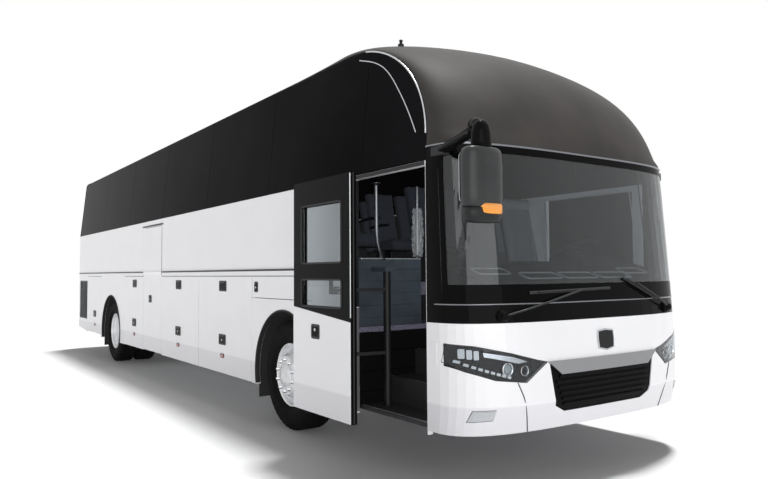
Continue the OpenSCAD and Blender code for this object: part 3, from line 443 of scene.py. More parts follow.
# %% Lamp and cabin finishes
amber_lens = finish("amber_acrylic_lens", "#f59a1c", 0.12, coat=0.5)
grain(amber_lens, 60.0, 0.001, "ShaderNodeTexWave")
red_lens = finish("red_acrylic_lens", "#8e1517", 0.12, coat=0.5)
grain(red_lens, 60.0, 0.001, "ShaderNodeTexWave")
lamp_white = finish("prismatic_lamp_diffuser", "#b4b7bb", 0.2, coat=0.2)
grain(lamp_white, 110.0, 0.0015, "ShaderNodeTexVoronoi")
lamp_bezel = finish("black_lamp_bezel", "#121315", 0.24, Specular_IOR_Level=0.2)
uneven(lamp_bezel, 0.15, 0.35, 25.0)
lens_glass = finish("projector_lens_glass", "#aeb7bd", 0.02, IOR=1.5,
                    Transmission_Weight=0.6)
dash_pvc = finish("grained_dash_pvc", "#212326", 0.6, Specular_IOR_Level=0.2)
grain(dash_pvc, 420.0, 0.0004, "ShaderNodeTexVoronoi")
mottle(dash_pvc, "#1d1f22", "#27292d", 3.0)
floor_vinyl = finish("flecked_floor_vinyl", "#5b5a66", 0.5)
mottle(floor_vinyl, "#4d4b5a", "#6d6a7c", 60.0, 8.0)
grain(floor_vinyl, 150.0, 0.0004)
tread_rubber = finish("ribbed_step_rubber", "#19191b", 0.7)
mottle(tread_rubber, "#151517", "#1f1f22", 9.0)
laminate = finish("grey_blue_laminate", "#30373f", 0.45)
mottle(laminate, "#2a3139", "#363f48", 5.0)
seat_cloth = finish("woven_seat_moquette", "#1f232c", 0.9, Sheen_Weight=0.1)
cover_film = finish("clear_polythene_cover", "#b9bdc0", 0.3, coat=0.4)
cover_film.node_tree.nodes["Principled BSDF"].inputs["Alpha"].default_value = 0.26
grain(cover_film, 9.0, 0.02)
cast_iron = finish("cast_engine_iron", "#4a4540", 0.6, metallic=0.5)
mottle(cast_iron, "#3d3935", "#585048", 12.0)
weave = seat_cloth.node_tree
# the real threads are 0.6 mm apart; 6 mm is the finest that still shows
threads = add(weave, "ShaderNodeTexChecker", {"Vector": place_of(seat_cloth)}, Scale=160.0)
threads.inputs["Color1"].default_value = linear("#1a1e27")
threads.inputs["Color2"].default_value = linear("#282d39")
weave.links.new(threads.outputs["Color"], weave.nodes["Principled BSDF"].inputs["Base Color"])
print("materials so far:", len(bpy.data.materials))

# %% [markdown]
# ## Finishes for the CAD nodes
# Panels whose shape is already right keep their mesh and only change finish. A small
# bevel on the sharp sheet edges catches a line of light, as folded metal does.

# %% Assign finishes
WHITE = ["side_wall_right", "side_wall_left", "front_panel", "rear_panel", "engine_lid",
         "mid_door", "fuel_flap", "engine_flap_right", "engine_flap_left"] + [
    f"luggage_flap_{side}_{i}" for side in ("right", "left") for i in (1, 2, 3)]
CAD_FINISH = {
    enamel: WHITE,
    dome_paint: ["roof_shell", "front_dome", "rear_cap"],
    privacy_glass: ["side_glass", "rear_window"],
    screen_glass: ["windscreen"], door_glass: ["front_door_glass"],
    gloss_black: ["windscreen_surround", "window_frames", "front_door"],
    satin_black: ["belt_rails", "hinge_rods", "louvres", "door_pillar", "steering_wheel"],
    black_abs: ["front_grille"], satin_nickel: ["grille_bar"], red_lens: ["tail_lamps"],
    floor_vinyl: ["floor_deck"], tread_rubber: ["door_steps"], aluminium: ["luggage_bay"],
    chassis_paint: ["underframe", "front_axle", "rear_axle", "knuckle_left",
                    "knuckle_right"],
    arch_liner: ["wheel_arches", "mudflaps"],
    wheel_enamel: ["front_wheel_left", "front_wheel_right", "rear_wheels_left",
                   "rear_wheels_right", "roof_units"],
    cast_iron: ["engine_block"], dash_pvc: ["dashboard"], laminate: ["partitions"],
}
for material, names in CAD_FINISH.items():
    for name in names:
        node[name].data.materials.clear()
        node[name].data.materials.append(material)
        # rounded panels shade smooth; folds sharper than 22 degrees stay crisp
        node[name].data.shade_smooth()
        node[name].data.set_sharp_from_angle(angle=math.radians(22))
for name in WHITE[5:]:
    soften(node[name], 0.004)
print("finished CAD nodes:", sum(len(n) for n in CAD_FINISH.values()))

# %% [markdown]
# ## Camera, floor and light
# The coach is seen from its entrance side at standing height with a normal lens. The
# floor is plain and pale, and broad soft lights from the front and the entrance side
# keep the white paint below clipping while the ground keeps a soft shadow.

# %% Camera
camera = bpy.data.objects.new("camera", bpy.data.cameras.new("camera"))
scene.collection.objects.link(camera)
camera.data.lens = 32.16
camera.data.sensor_width = 36.0
turn = Matrix.Rotation(math.radians(-35.18), 4, "Z")
tilt = Matrix.Rotation(math.radians(90 + 2.82), 4, "X")
level = Matrix.Rotation(math.radians(-0.4), 4, "Z")
camera.matrix_world = Matrix.Translation((-4.274, -9.045, 1.486)) @ turn @ tilt @ level
scene.camera = camera
print("camera at", [round(c, 2) for c in camera.matrix_world.translation])

# %% Floor and lights
floor = mesh_object("floor", [(-60, -60, 0), (60, -60, 0), (60, 60, 0), (-60, 60, 0)],
                    [[0, 1, 2, 3]])
floor_paint = finish("pale_studio_floor", "#f7f7f7", 0.95, Specular_IOR_Level=0.0)
floor.data.materials.append(floor_paint)

world = bpy.data.worlds.new("studio")
scene.world = world
world.use_nodes = True
tree = world.node_tree
rays = add(tree, "ShaderNodeLightPath")
plain = tree.nodes["Background"]
plain.inputs["Color"].default_value = (1, 1, 1, 1)
plain.inputs["Strength"].default_value = 0.15
white = add(tree, "ShaderNodeBackground", Color=(1, 1, 1, 1), Strength=1.0)
camera_or_glossy = add(tree, "ShaderNodeMath", {0: rays.outputs["Is Camera Ray"],
                                                1: rays.outputs["Is Glossy Ray"]},
                       operation="MAXIMUM")
shown = add(tree, "ShaderNodeMath", {0: camera_or_glossy.outputs[0],
                                     1: rays.outputs["Is Transmission Ray"]},
            operation="MAXIMUM")
mixed = add(tree, "ShaderNodeMixShader", {"Fac": shown.outputs[0],
                                          1: plain.outputs[0], 2: white.outputs[0]})
tree.links.new(mixed.outputs[0], tree.nodes["World Output"].inputs["Surface"])


def sun(name, aim, strength, spread, shadow=True):
    lamp = bpy.data.lights.new(name, "SUN")
    lamp.energy = strength
    lamp.angle = math.radians(spread)
    lamp.use_shadow = shadow
    holder = bpy.data.objects.new(name, lamp)
    holder.rotation_euler = Vector(aim).to_track_quat("-Z", "Y").to_euler()
    scene.collection.objects.link(holder)


sun("overhead_softbox", (-0.21, -0.07, -1.0), 2.95, 9)
sun("fill_on_the_nose", (0.25, 0.95, -0.05), 1.55, 60, shadow=False)
sun("fill_on_the_side", (0.98, 0.1, -0.04), 0.2, 60, shadow=False)
scene.view_settings.view_transform = "Standard"
print("one overhead softbox, two fills and a pale floor")

# %% [markdown]
# ## Tyres
# A coach tyre is moulded rubber: two sidewalls with raised rings, a shoulder cut into
# lugs, and four straight grooves round the tread. Turning one profile gives the rings
# and grooves exactly; pulling every other shoulder point inwards cuts the lugs.

# %% Tyres
TYRE_HALF = [(0.104, 0.2875), (0.104, 0.299), (0.113, 0.303), (0.122, 0.313),
             (0.136, 0.335), (0.143, 0.352), (0.1475, 0.362), (0.1485, 0.365),
             (0.1475, 0.369), (0.1488, 0.392), (0.149, 0.405), (0.146, 0.438),
             (0.1445, 0.452), (0.1455, 0.456), (0.143, 0.46), (0.137, 0.478),
             (0.129, 0.496), (0.117, 0.513), (0.104, 0.5205), (0.0665, 0.522),
             (0.0655, 0.508), (0.0585, 0.508), (0.0575, 0.522), (0.0265, 0.522),
             (0.0255, 0.508), (0.0185, 0.508), (0.0175, 0.522)]
TYRE = TYRE_HALF + [(-a, r) for a, r in reversed(TYRE_HALF)]
LUG_POINTS = {16, 17, 18, len(TYRE) - 17, len(TYRE) - 18, len(TYRE) - 19}


def lugs(i, k):
    return 0.009 if k in LUG_POINTS and i % 3 == 0 else 0.0


TYRE_X, TWIN_PITCH = 1.076, 0.338
FRONT_V, REAR_V, AXLE_Z = 2.71, 9.25, 0.522
FRONT_Y, REAR_Y = NOSE_Y + FRONT_V, NOSE_Y + REAR_V
for side, hand in SIDES:
    body = "front_wheel_" + hand[0]
    tyre = lathe(f"front_tyre_moulding_{hand}", TYRE, (side * TYRE_X, FRONT_Y, AXLE_Z),
                 (side, 0, 0), body, tyre_rubber, sides=144, closed=True, cut=lugs)
    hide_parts(f"front_tyre_{hand}")
    for n, x in enumerate((TYRE_X, TYRE_X - TWIN_PITCH)):
        tyre = lathe(f"rear_tyre_moulding_{hand}_{n + 1}", TYRE,
                     (side * x, REAR_Y, AXLE_Z), (side, 0, 0), "twin_wheels_" + hand[0],
                     tyre_rubber, sides=144, closed=True, cut=lugs)
        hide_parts(f"rear_tyres_{hand}")
print("six tyres")

# %% [markdown]
# ## Wheel nuts and hub caps
# Ten nuts hold each wheel, each under a short turned cap, and a domed cap covers the
# bearing. The front cap stands proud of the domed disc; the rear one sits in its dish.

# %% Nuts and caps
NUT = [(0.0, 0.019), (0.006, 0.019), (0.007, 0.0165), (0.026, 0.0155), (0.031, 0.011),
       (0.033, 0.001)]
FRONT_CAP = [(0.1675, 0.112), (0.178, 0.11), (0.186, 0.1), (0.19, 0.082), (0.1925, 0.08),
             (0.195, 0.05), (0.196, 0.001)]
REAR_CAP = [(-0.06, 0.085), (-0.049, 0.084), (-0.046, 0.07), (-0.036, 0.068),
            (-0.033, 0.03), (-0.032, 0.001)]
NUT_R = 0.149
RIM_RING = [(0.104, 0.292), (0.116, 0.3005), (0.1185, 0.297), (0.1165, 0.29)]
for side, hand in SIDES:
    for end, y, body, face, cap in (
            ("front", FRONT_Y, "front_wheel_", 0.1692, FRONT_CAP),
            ("rear", REAR_Y, "twin_wheels_", -0.1548, REAR_CAP)):
        body += hand[0]
        centre = Vector((side * TYRE_X, y, AXLE_Z))
        for i in range(10):
            a = math.radians(36 * i + 18)
            foot = centre + Vector((side * face, NUT_R * math.cos(a), NUT_R * math.sin(a)))
            lathe(f"{end}_nut_{hand}_{i + 1}", NUT, foot, (side, 0, 0), body, bright_chrome,
                  sides=12)
        lathe(f"{end}_hub_cap_{hand}", cap, centre, (side, 0, 0), body,
              chrome if end == "rear" else wheel_enamel, sides=40)
        lathe(f"{end}_rim_ring_{hand}", RIM_RING, centre, (side, 0, 0), body,
              bright_chrome, sides=96, closed=True)
print("forty nuts, four caps")

# %% [markdown]
# ## Headlamps and fog lamps
# Each headlamp is a black bezel under a clear cover, with a projector, a bank of
# daylight LEDs at the corner and a light strip along its lower edge. Every part is laid
# on the nose at its own depth, so the cover follows the panel.

# %% Headlamps
LAMP = [(0.624, 0.869), (0.92, 0.943), (1.15, 0.994), (1.262, 1.009), (1.268, 0.884),
        (1.2, 0.83), (1.03, 0.77), (0.803, 0.744)]
FOG = [(1.039, 0.504), (1.186, 0.496), (1.161, 0.568), (1.024, 0.57)]
cover_plastic = finish("clear_polycarbonate_cover", "#e8ecef", 0.0, IOR=1.3,
                       Transmission_Weight=1.0)


def shrunk(outline, by):
    """The outline pulled towards its middle."""
    mu = sum(p[0] for p in outline) / len(outline)
    mw = sum(p[1] for p in outline) / len(outline)
    return [(mu + (u - mu) * (1 - by), mw + (w - mw) * (1 - by)) for u, w in outline]


def turned_out(side):
    return lambda x, z, out: on_nose(side * x, z, out)


for side, hand in SIDES:
    put = turned_out(side)
    bezel = skin(f"headlamp_bezel_{hand}", LAMP, put, -0.016, 0.014, "coach", lamp_bezel)
    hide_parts("front_lamps")
    skin(f"headlamp_cover_{hand}", LAMP, put, 0.0015, 0.003, "coach", cover_plastic)
    for i in range(3):
        x = 1.128 + 0.036 * i
        outline = rounded(x, x + 0.028, 0.906 + 0.004 * i, 0.966 + 0.006 * i, 0.006)
        skin(f"daylight_cell_{hand}_{i + 1}", outline, put, -0.005, 0.01, "coach", lamp_white)
    for i in range(9):
        u = i / 8
        x, z = 1.222 - 0.3 * u, 0.88 - 0.108 * u ** 0.8
        cell = [(x, z), (x + 0.024, z + 0.008), (x + 0.02, z + 0.025), (x - 0.004, z + 0.017)]
        skin(f"light_strip_{hand}_{i + 1}", cell, put, -0.005, 0.01, "coach", lamp_white)
    fin = [(1.105, 0.955), (0.9, 0.918), (0.79, 0.882), (0.86, 0.872), (1.0, 0.905),
           (1.1, 0.925)]
    skin(f"headlamp_fin_{hand}", fin, put, -0.004, 0.01, "coach", chrome)
    for n, (x, z, r) in enumerate(((0.945, 0.838, 0.046), (0.815, 0.822, 0.036))):
        middle = put(x, z, -0.012)
        facing = (put(x, z, 0.1) - put(x, z, 0.0)).normalized() * 0.25 + Vector((0, -1, 0))
        ring = [(0.0, r), (0.01, r), (0.012, r * 0.93), (0.002, r * 0.78), (0.0, r * 0.78)]
        lathe(f"projector_ring_{hand}_{n + 1}", ring, middle, facing, "coach",
              bright_chrome if n == 0 else chrome, closed=True)
        dome = [(0.0, r * 0.77), (0.006, r * 0.66), (0.01, r * 0.4), (0.0115, 0.001)]
        lathe(f"projector_lens_{hand}_{n + 1}", dome, middle, facing, "coach",
              lens_glass if n == 0 else lamp_bezel)
    rim = [put(x, z, 0.001) for x, z in LAMP + LAMP[:1]]
    tube(f"headlamp_edge_{hand}", rim, 0.0035, "coach", seal_rubber, sides=8)
    skin(f"fog_frame_{hand}", FOG, put, 0.0, 0.01, "coach", chrome)
    skin(f"fog_lens_{hand}", shrunk(FOG, 0.16), put, 0.003, 0.006, "coach", lamp_white)
print("lamps on both corners")

# %% [markdown]
# ## Grille, bar, badge plate and bumper joints
# The lower grille is black ABS with wide slats behind a bright bar. The plate above it
# carries no mark: it is left plain. The bumper is in three mouldings, whose butt joints
# show as thin dark lines, drawn here as rubber beads let into the surface.

# %% Front trim
for i, z in enumerate((0.565, 0.605, 0.645, 0.685, 0.725)):
    reach = 0.44 + (z - 0.512) * 0.45
    line = [on_nose(reach * (k / 20 - 1), z, -0.001) for k in range(41)]
    tube(f"grille_slat_{i + 1}", line, 0.0075, "coach", black_abs, sides=8, flat=1.6)
lip = [(-0.51, 0.752), (-0.5, 0.774), (0.5, 0.774), (0.51, 0.752)]
skin("grille_upper_lip", lip, on_nose, 0.006, 0.012, "coach", gloss_black, edge=0.002)
bar_line = [on_nose(0.6 * (k / 20 - 1), 0.8655, 0.0) for k in range(41)]
tube("grille_bar_joint", bar_line, 0.004, "coach", seal_rubber, sides=8)
plate = [(-0.088, 0.925), (0, 0.908), (0.088, 0.925), (0.096, 0.99), (0.092, 1.058),
         (0.0, 1.068), (-0.092, 1.058), (-0.096, 0.99)]
skin("badge_plate_rim", plate, on_nose, 0.008, 0.01, "coach", chrome, edge=0.002)
skin("badge_plate_face", shrunk(plate, 0.14), on_nose, 0.0105, 0.006, "coach", lamp_bezel,
     edge=0.001)
for side, hand in SIDES:
    put = turned_out(side)
    joint = smooth_path([put(x, z, 0.0005) for x, z in (
        (0.872, 0.745), (0.85, 0.7), (0.817, 0.627), (0.785, 0.52), (0.755, 0.402))], 2)
    tube(f"bumper_joint_{hand}", joint, 0.0042, "coach", seal_rubber, sides=8)
print("front trim laid on the nose")

# %% [markdown]
# ## Windscreen edge, mouldings and wipers
# The bonded windscreen is masked round its edge by black ceramic frit, deepest at the
# bottom. A half-round moulding runs along the crease below it and another above. The
# wipers park low: a sprung arm from each pivot and a rubber blade.

# %% Windscreen trim
def on_nose_across(s, z, out):
    """The nose by angle across, s from -1 to 1, which is even round the corners."""
    a = abs(s) * math.pi / 2
    x = side_x(z) * math.sin(a) ** (2 / SQUARE)
    return on_nose(math.copysign(x, s), z, out)


def band(name, s0, s1, z0, z1, material, out=0.0016, thick=0.0012, cell=0.05):
    outline = [(s0, z0), (s1, z0), (s1, z1), (s0, z1)]
    return skin(name, outline, on_nose_across, out, thick, "coach", material, cell)


band("frit_foot", -0.895, 0.895, 1.2725, 1.405, frit)
band("frit_head", -0.895, 0.895, 2.315, 2.3705, frit)
for side, hand in SIDES:
    band(f"frit_side_{hand}", side * 0.845, side * 0.895, 1.405, 2.315, frit)
dark_chrome = finish("dark_chromed_moulding", "#7d7f83", 0.2, metallic=1.0)
crease = [on_nose_across(k / 24 - 1, 1.272, 0.001) for k in range(49)]
tube("windscreen_foot_moulding", crease, 0.006, "coach", dark_chrome, sides=10)
crown = [on_nose_across(k / 24 - 1, 2.374, 0.002) for k in range(49)]
tube("windscreen_head_moulding", crown, 0.009, "coach", dark_chrome, sides=10)
for side, hand in SIDES:
    back = [(side * 0.903, 0.858), (side * 0.9945, 0.865), (side * 0.9945, 1.0125),
            (side * 0.903, 1.011)]
    skin(f"headlamp_corner_return_{hand}", back, on_nose_across, 0.0007, 0.006, "coach",
         enamel, 0.02)
    end = [(0.42, 0.86), (0.487, 0.864), (0.487, 1.013), (0.42, 1.011)]
    skin(f"headlamp_side_return_{hand}", end,
         lambda v, z, out, side=side: on_side(v, z, out, side), 0.0007, 0.006, "coach",
         enamel, 0.2)
print("frit and mouldings in place")

# %% Wipers
WIPERS = [((-0.965, 1.192), (-0.271, 1.354), (-0.744, 1.344), (0.097, 1.364)),
          ((0.86, 1.196), (0.39, 1.393), (0.27, 1.44), (0.7, 1.27))]
for n, (pivot, tip, start, end) in enumerate(WIPERS):
    root = on_nose(*pivot, 0.03)
    middle = on_nose((pivot[0] * 2 + tip[0]) / 3, (pivot[1] * 2 + tip[1]) / 3, 0.052)
    hook = on_nose(*tip, 0.05)
    arm = tube(f"wiper_arm_{n + 1}", smooth_path([root, middle, hook], 2), 0.011, "coach",
               satin_black, sides=10, flat=0.7)
    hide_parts("wipers")
    base = on_nose(*pivot, 0.004)
    facing = on_nose(*pivot, 0.1) - on_nose(*pivot, 0.0)
    cap = [(0.0, 0.045), (0.012, 0.043), (0.02, 0.034), (0.03, 0.028), (0.044, 0.026),
           (0.05, 0.018), (0.052, 0.001)]
    lathe(f"wiper_pivot_{n + 1}", cap, base, facing, "coach", black_abs, sides=24)
    blade = [on_nose(start[0] + (end[0] - start[0]) * k / 12,
                     start[1] + (end[1] - start[1]) * k / 12, 0.012) for k in range(13)]
    tube(f"wiper_blade_{n + 1}", blade, 0.0065, "coach", seal_rubber, sides=8, flat=1.7)
    spine = [p + (facing.normalized() * 0.016) for p in blade[1:-1]]
    tube(f"wiper_spine_{n + 1}", spine, 0.006, "coach", satin_black, sides=8)
print("two wipers")

# %% [markdown]
# ## Mirrors
# Each mirror hangs from a thick painted arm: a tall moulded head, dark grey over black,
# with an amber side repeater low on its front and the glass on the face that looks back.
# Stacking squared ovals gives the head its soft vertical barrel shape.

# %% Mirrors
mirror_grey = finish("graphite_mirror_shell", "#2b2c2d", 0.34, Specular_IOR_Level=0.3)
mottle(mirror_grey, "#272829", "#303132", 6.0)
mirror_glass = finish("silvered_mirror_glass", "#c8ccd0", 0.02, metallic=1.0)


def squared_oval(centre, rx, ry, power=3.0, count=36):
    points = []
    for k in range(count):
        a = 2 * math.pi * k / count
        c, s = math.cos(a), math.sin(a)
        points.append(Vector((
            centre[0] + rx * math.copysign(abs(c) ** (2 / power), c),
            centre[1] + ry * math.copysign(abs(s) ** (2 / power), s), centre[2])))
    return points


def stack(name, rings, body, material):
    """Closed loft through rings of equal count."""
    count = len(rings[0])
    verts = [p for ring in rings for p in ring]
    faces = [[i * count + k, i * count + (k + 1) % count,
              (i + 1) * count + (k + 1) % count, (i + 1) * count + k]
             for i in range(len(rings) - 1) for k in range(count)]
    last = (len(rings) - 1) * count
    faces += [list(range(count))[::-1], [last + k for k in range(count)]]
    return keep(mesh_object(name, verts, faces), body, material)


for side, hand, head_y, elbow_y in ((-1, "right", -6.115, -5.88), (1, "left", -5.115, -5.38)):
    x = side * 1.507
    rings = [squared_oval((x, head_y, z), 0.143 * s, 0.064 * s) for z, s in (
        (1.862, 0.8), (1.866, 0.9), (1.88, 0.96), (1.92, 0.99), (2.1, 1.0), (2.18, 0.98),
        (2.205, 0.92), (2.216, 0.8), (2.219, 0.6))]
    head = stack(f"mirror_shell_{hand}", rings, "coach", mirror_grey)
    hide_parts("mirrors")
    rings = [squared_oval((x, head_y, z), 0.14 * s, 0.062 * s) for z, s in (
        (1.776, 0.62), (1.78, 0.8), (1.795, 0.92), (1.83, 0.97), (1.8625, 0.95))]
    stack(f"mirror_foot_{hand}", rings, "coach", satin_black)
    rings = [squared_oval((x - side * 0.026, head_y - 0.003, z), 0.106 * s, 0.066 * s)
             for z, s in ((1.826, 0.86), (1.832, 0.97), (1.87, 1.0), (1.884, 0.97),
                          (1.888, 0.86))]
    stack(f"mirror_repeater_{hand}", rings, "coach", amber_lens)
    glass = rounded(-0.12, 0.12, 1.895, 2.19, 0.03)
    skin(f"mirror_glass_{hand}", glass,
         lambda u, z, out, x=x, y=head_y: Vector((x + u, y + 0.0635 + out, z)),
         0.0012, 0.004, "coach", mirror_glass)
    path = smooth_path([(side * 1.235, -5.42, 2.328), (side * 1.33, elbow_y, 2.385),
                        (side * 1.47, (elbow_y + head_y) / 2, 2.39),
                        (x, head_y, 2.36), (x, head_y, 2.2)], 3)
    tube(f"mirror_arm_{hand}", path, 0.034, "coach", gloss_black, sides=18)
    rings = [squared_oval((x, head_y, z), 0.062 * s, 0.052 * s, 2.4) for z, s in (
        (2.2, 1.0), (2.25, 1.0), (2.3, 0.96), (2.345, 0.84), (2.37, 0.6), (2.382, 0.3))]
    stack(f"mirror_arm_cap_{hand}", rings, "coach", gloss_black)
    block(f"mirror_root_{hand}", (min(side * 1.2, side * 1.272), -5.49, 2.29),
          (max(side * 1.2, side * 1.272), -5.35, 2.365), "coach", satin_black, 0.012)
print("two mirrors")

# %% [markdown]
# ## The dome
# The dome over the windscreen is one glass-fibre moulding. Its middle line and its side
# edge are both squared arcs, joined by squared ovals, so a fine grid of those curves
# gives the smooth skin that the CAD's flat facets stand for.

# %% Dome
ROOF_HALF, ROOF_RISE = 1.168, 0.24
ROOF_R = (ROOF_HALF ** 2 + ROOF_RISE ** 2) / (2 * ROOF_RISE)
CROWN_Z = CANT_Z + ROOF_RISE
CREST_V, CREST_RISE, ROOF_V = 2.42, 0.022, 2.75
EDGE_LOW, EDGE_TOP = (WRAP, 2.42), (1.68, CANT_Z)
MID_POWER, EDGE_POWER, SHOULDER = 2.12, 1.97, 1.65


def arc_in(a, b, power, t):
    c, s = math.cos(math.pi / 2 * t), math.sin(math.pi / 2 * t)
    return (b[0] - (b[0] - a[0]) * max(0.0, c) ** (2 / power),
            a[1] + (b[1] - a[1]) * s ** (2 / power))


def blend_to(a, b, t):
    return a + (b - a) * t


def on_dome(t, s, out=0.0):
    """t runs 0 to 1 up to the crest and on to 2 where the roof begins; s across."""
    def raw(t, s):
        up, back = min(t, 1.0), max(t - 1.0, 0.0)
        square = SQUARE - (SQUARE - SHOULDER) * math.sin(math.pi / 2 * up ** 0.4)
        if back:
            mid = (blend_to(CREST_V, ROOF_V, back), CROWN_Z + CREST_RISE * (1 - back) ** 2)
            edge = (blend_to(EDGE_TOP[0], ROOF_V, back), CANT_Z)
        else:
            rest = max(0.0, 1 - up * 14)
            mid = arc_in((0.15, 2.372), (CREST_V, CROWN_Z + CREST_RISE), MID_POWER, up)
            mid = (mid[0] + 0.004 * rest, mid[1] + 0.024 * rest)
            edge = arc_in(EDGE_LOW, EDGE_TOP, EDGE_POWER, up)
        a = abs(s) * math.pi / 2
        h = math.sin(a) ** (2 / square)
        g = 1 - max(0.0, math.cos(a)) ** (2 / square)
        x = side_x(edge[1]) * h
        flat = (ROOF_R - math.sqrt(ROOF_R ** 2 - min(x, ROOF_HALF) ** 2)) / ROOF_RISE
        g = blend_to(g, flat, back)
        return Vector((math.copysign(x, s), NOSE_Y + blend_to(mid[0], edge[0], g),
                       blend_to(mid[1], edge[1], g)))
    point = raw(t, s)
    if not out:
        return point
    e = 0.004
    along = raw(min(2.0, t + e), s) - raw(max(0.0, t - e), s)
    across = raw(t, min(1.0, s + e)) - raw(t, max(-1.0, s - e))
    return point + across.cross(along).normalized() * out


def grid_shell(name, rows, thick, body, material):
    """A closed shell from rows of points: the outer face, an inner one and the rims."""
    n, m = len(rows), len(rows[0])
    outer = [p for row in rows for p in row]
    inner = []
    for i in range(n):
        for j in range(m):
            down = rows[min(i + 1, n - 1)][j] - rows[max(i - 1, 0)][j]
            across = rows[i][min(j + 1, m - 1)] - rows[i][max(j - 1, 0)]
            inner.append(rows[i][j] - across.cross(down).normalized() * thick)
    faces = []
    for i in range(n - 1):
        for j in range(m - 1):
            a, b, c, d = i * m + j, i * m + j + 1, (i + 1) * m + j + 1, (i + 1) * m + j
            faces += [[a, b, c, d], [d + n * m, c + n * m, b + n * m, a + n * m]]
    for j in range(m - 1):
        for i in (0, n - 1):
            a, b = i * m + j, i * m + j + 1
            faces.append([a, b, b + n * m, a + n * m])
    for i in range(n - 1):
        for j in (0, m - 1):
            a, b = i * m + j, (i + 1) * m + j
            faces.append([a, b, b + n * m, a + n * m])
    obj = mesh_object(name, outer + inner, faces)
    face_outward(obj, crease=0.7)
    return keep(obj, body, material)


across = [k / 36 - 1 for k in range(73)]
rows = [[on_nose_across(s, 2.3725, 0.0) for s in across]]
rows += [[on_dome(i / 32, s) for s in across] for i in range(33)]
rows += [[on_dome(1 + i / 8, s) for s in across] for i in range(1, 9)]
dome = grid_shell("dome_moulding", rows, 0.03, "coach", dome_paint)
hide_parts("front_dome")


def on_edge(t, back):
    """A point beside the dome's edge, back metres behind it, on the window band."""
    v, z = arc_in(EDGE_LOW, EDGE_TOP, EDGE_POWER, t)
    return v + back, z


for side, hand in SIDES:
    path = [on_side(*on_edge(0.04 + 0.8 * k / 24, 0.012), 0.003, side) for k in range(25)]
    tube(f"dome_edge_trim_{hand}", path, 0.007, "coach", aluminium, sides=8)
    arc = [(0.65, 2.5), (0.74, 2.65), (0.86, 2.82), (1.06, 3.06), (1.25, 3.18), (1.5, 3.26)]
    path = smooth_path([on_side(v, z, 0.003, side) for v, z in arc], 2)
    tube(f"band_arc_trim_{hand}", path, 0.005, "coach", aluminium, sides=8)
STUB_AT = (0.72, -0.58)
stub = on_dome(*STUB_AT)
lathe("aerial_stub", [(-0.02, 0.026), (0.014, 0.026), (0.02, 0.02), (0.024, 0.012),
                      (0.036, 0.012), (0.041, 0.017), (0.05, 0.015), (0.055, 0.006)],
      stub, on_dome(*STUB_AT, 0.1) - stub, "coach", satin_black, sides=32)
print("dome, its side trims and the aerial's stub")

# %% [markdown]
# ## Entrance door
# The plug door stands open on its pillar, set out from the side and moved back. Its
# lower part carries a white skin flush with the body; the frame round the two panes is
# gloss black. A bright strip, a rubber finger guard and a recessed latch finish it.

# %% Entrance door
LEAF_X = -(HALF + 0.3)
LEAF_V = (1.03, 1.92)


def on_leaf(v, z, out=0.0):
    return at(LEAF_X - out, v, z)


def on_leaf_inside(v, z, out=0.0):
    return at(LEAF_X + 0.05 + out, v, z)


lower = [(1.034, 0.389), (1.916, 0.389), (1.916, 1.218), (1.87, 1.214), (1.034, 1.128)]
skin("entrance_lower_skin", lower, on_leaf, 0.006, 0.006, "entrance_leaf", enamel, 0.2, 0.002)
skin("entrance_latch_plate", rounded(1.478, 1.612, 0.972, 1.088, 0.018), on_leaf, 0.009,
     0.004, "entrance_leaf", satin_black, 0.2, 0.002)
skin("entrance_latch_cup", rounded(1.495, 1.595, 0.99, 1.07, 0.014), on_leaf, 0.0105, 0.003,
     "entrance_leaf", gloss_black, 0.2, 0.001)
lathe("entrance_latch_lock", [(0.0, 0.013), (0.004, 0.0125), (0.005, 0.009), (0.0055, 0.001)],
      on_leaf(1.545, 1.045, 0.0105), (-1, 0, 0), "entrance_leaf", chrome, sides=24)
guard = [on_leaf(LEAF_V[0] + 0.001, 0.39 + 1.843 * k / 8, -0.025) for k in range(9)]
tube("entrance_finger_guard", guard, 0.006, "entrance_leaf", seal_rubber, sides=10)
guard = [on_leaf(LEAF_V[1] + 0.001, 0.39 + 1.843 * k / 8, -0.025) for k in range(9)]
tube("entrance_rear_seal", guard, 0.014, "entrance_leaf", seal_rubber, sides=10)
strip = [on_leaf(LEAF_V[0] + 0.004, 1.16 + 1.07 * k / 8, 0.001) for k in range(9)]
tube("entrance_bright_edge", strip, 0.005, "entrance_leaf", chrome, sides=8)
for n, (v0, v1, z0, z1) in enumerate(((1.162, 1.782, 1.57, 2.035), (1.162, 1.782, 1.225, 1.44))):
    ring = rounded(v0, v1, z0, z1, 0.02)
    path = [on_leaf(v, z, 0.001) for v, z in ring + ring[:1]]
    tube(f"entrance_pane_seal_{n + 1}", path, 0.008, "entrance_leaf", seal_rubber, sides=8)
    path = [on_leaf_inside(v, z, 0.001) for v, z in ring + ring[:1]]
    tube(f"entrance_pane_inner_seal_{n + 1}", path, 0.006, "entrance_leaf", seal_rubber,
         sides=8)
lining = [(1.06, 0.42), (1.89, 0.42), (1.89, 1.18), (1.06, 1.18)]
skin("entrance_inner_lining", lining, on_leaf_inside, 0.006, 0.006, "entrance_leaf",
     dash_pvc, 0.3, 0.002)
print("entrance door dressed")

# %% [markdown]
# ## Doorway trim
# Black seals and covers line the doorway: a header over it, a cover down the rear edge
# of the side wall, and below it a strip that the closed door meets. That strip's mid grey
# is painted shade for the pale return of the aperture, which stands in shadow.

# %% Doorway trim
header = [(0.53, 2.246), (1.449, 2.246), (1.449, 2.2755), (0.53, 2.2755)]
skin("doorway_header", header, on_side, 0.003, 0.006, "coach",
     satin_black, 0.2, 0.001)


def on_jamb(x, z, out=0.0):
    return at(x, 1.45 - out, z)


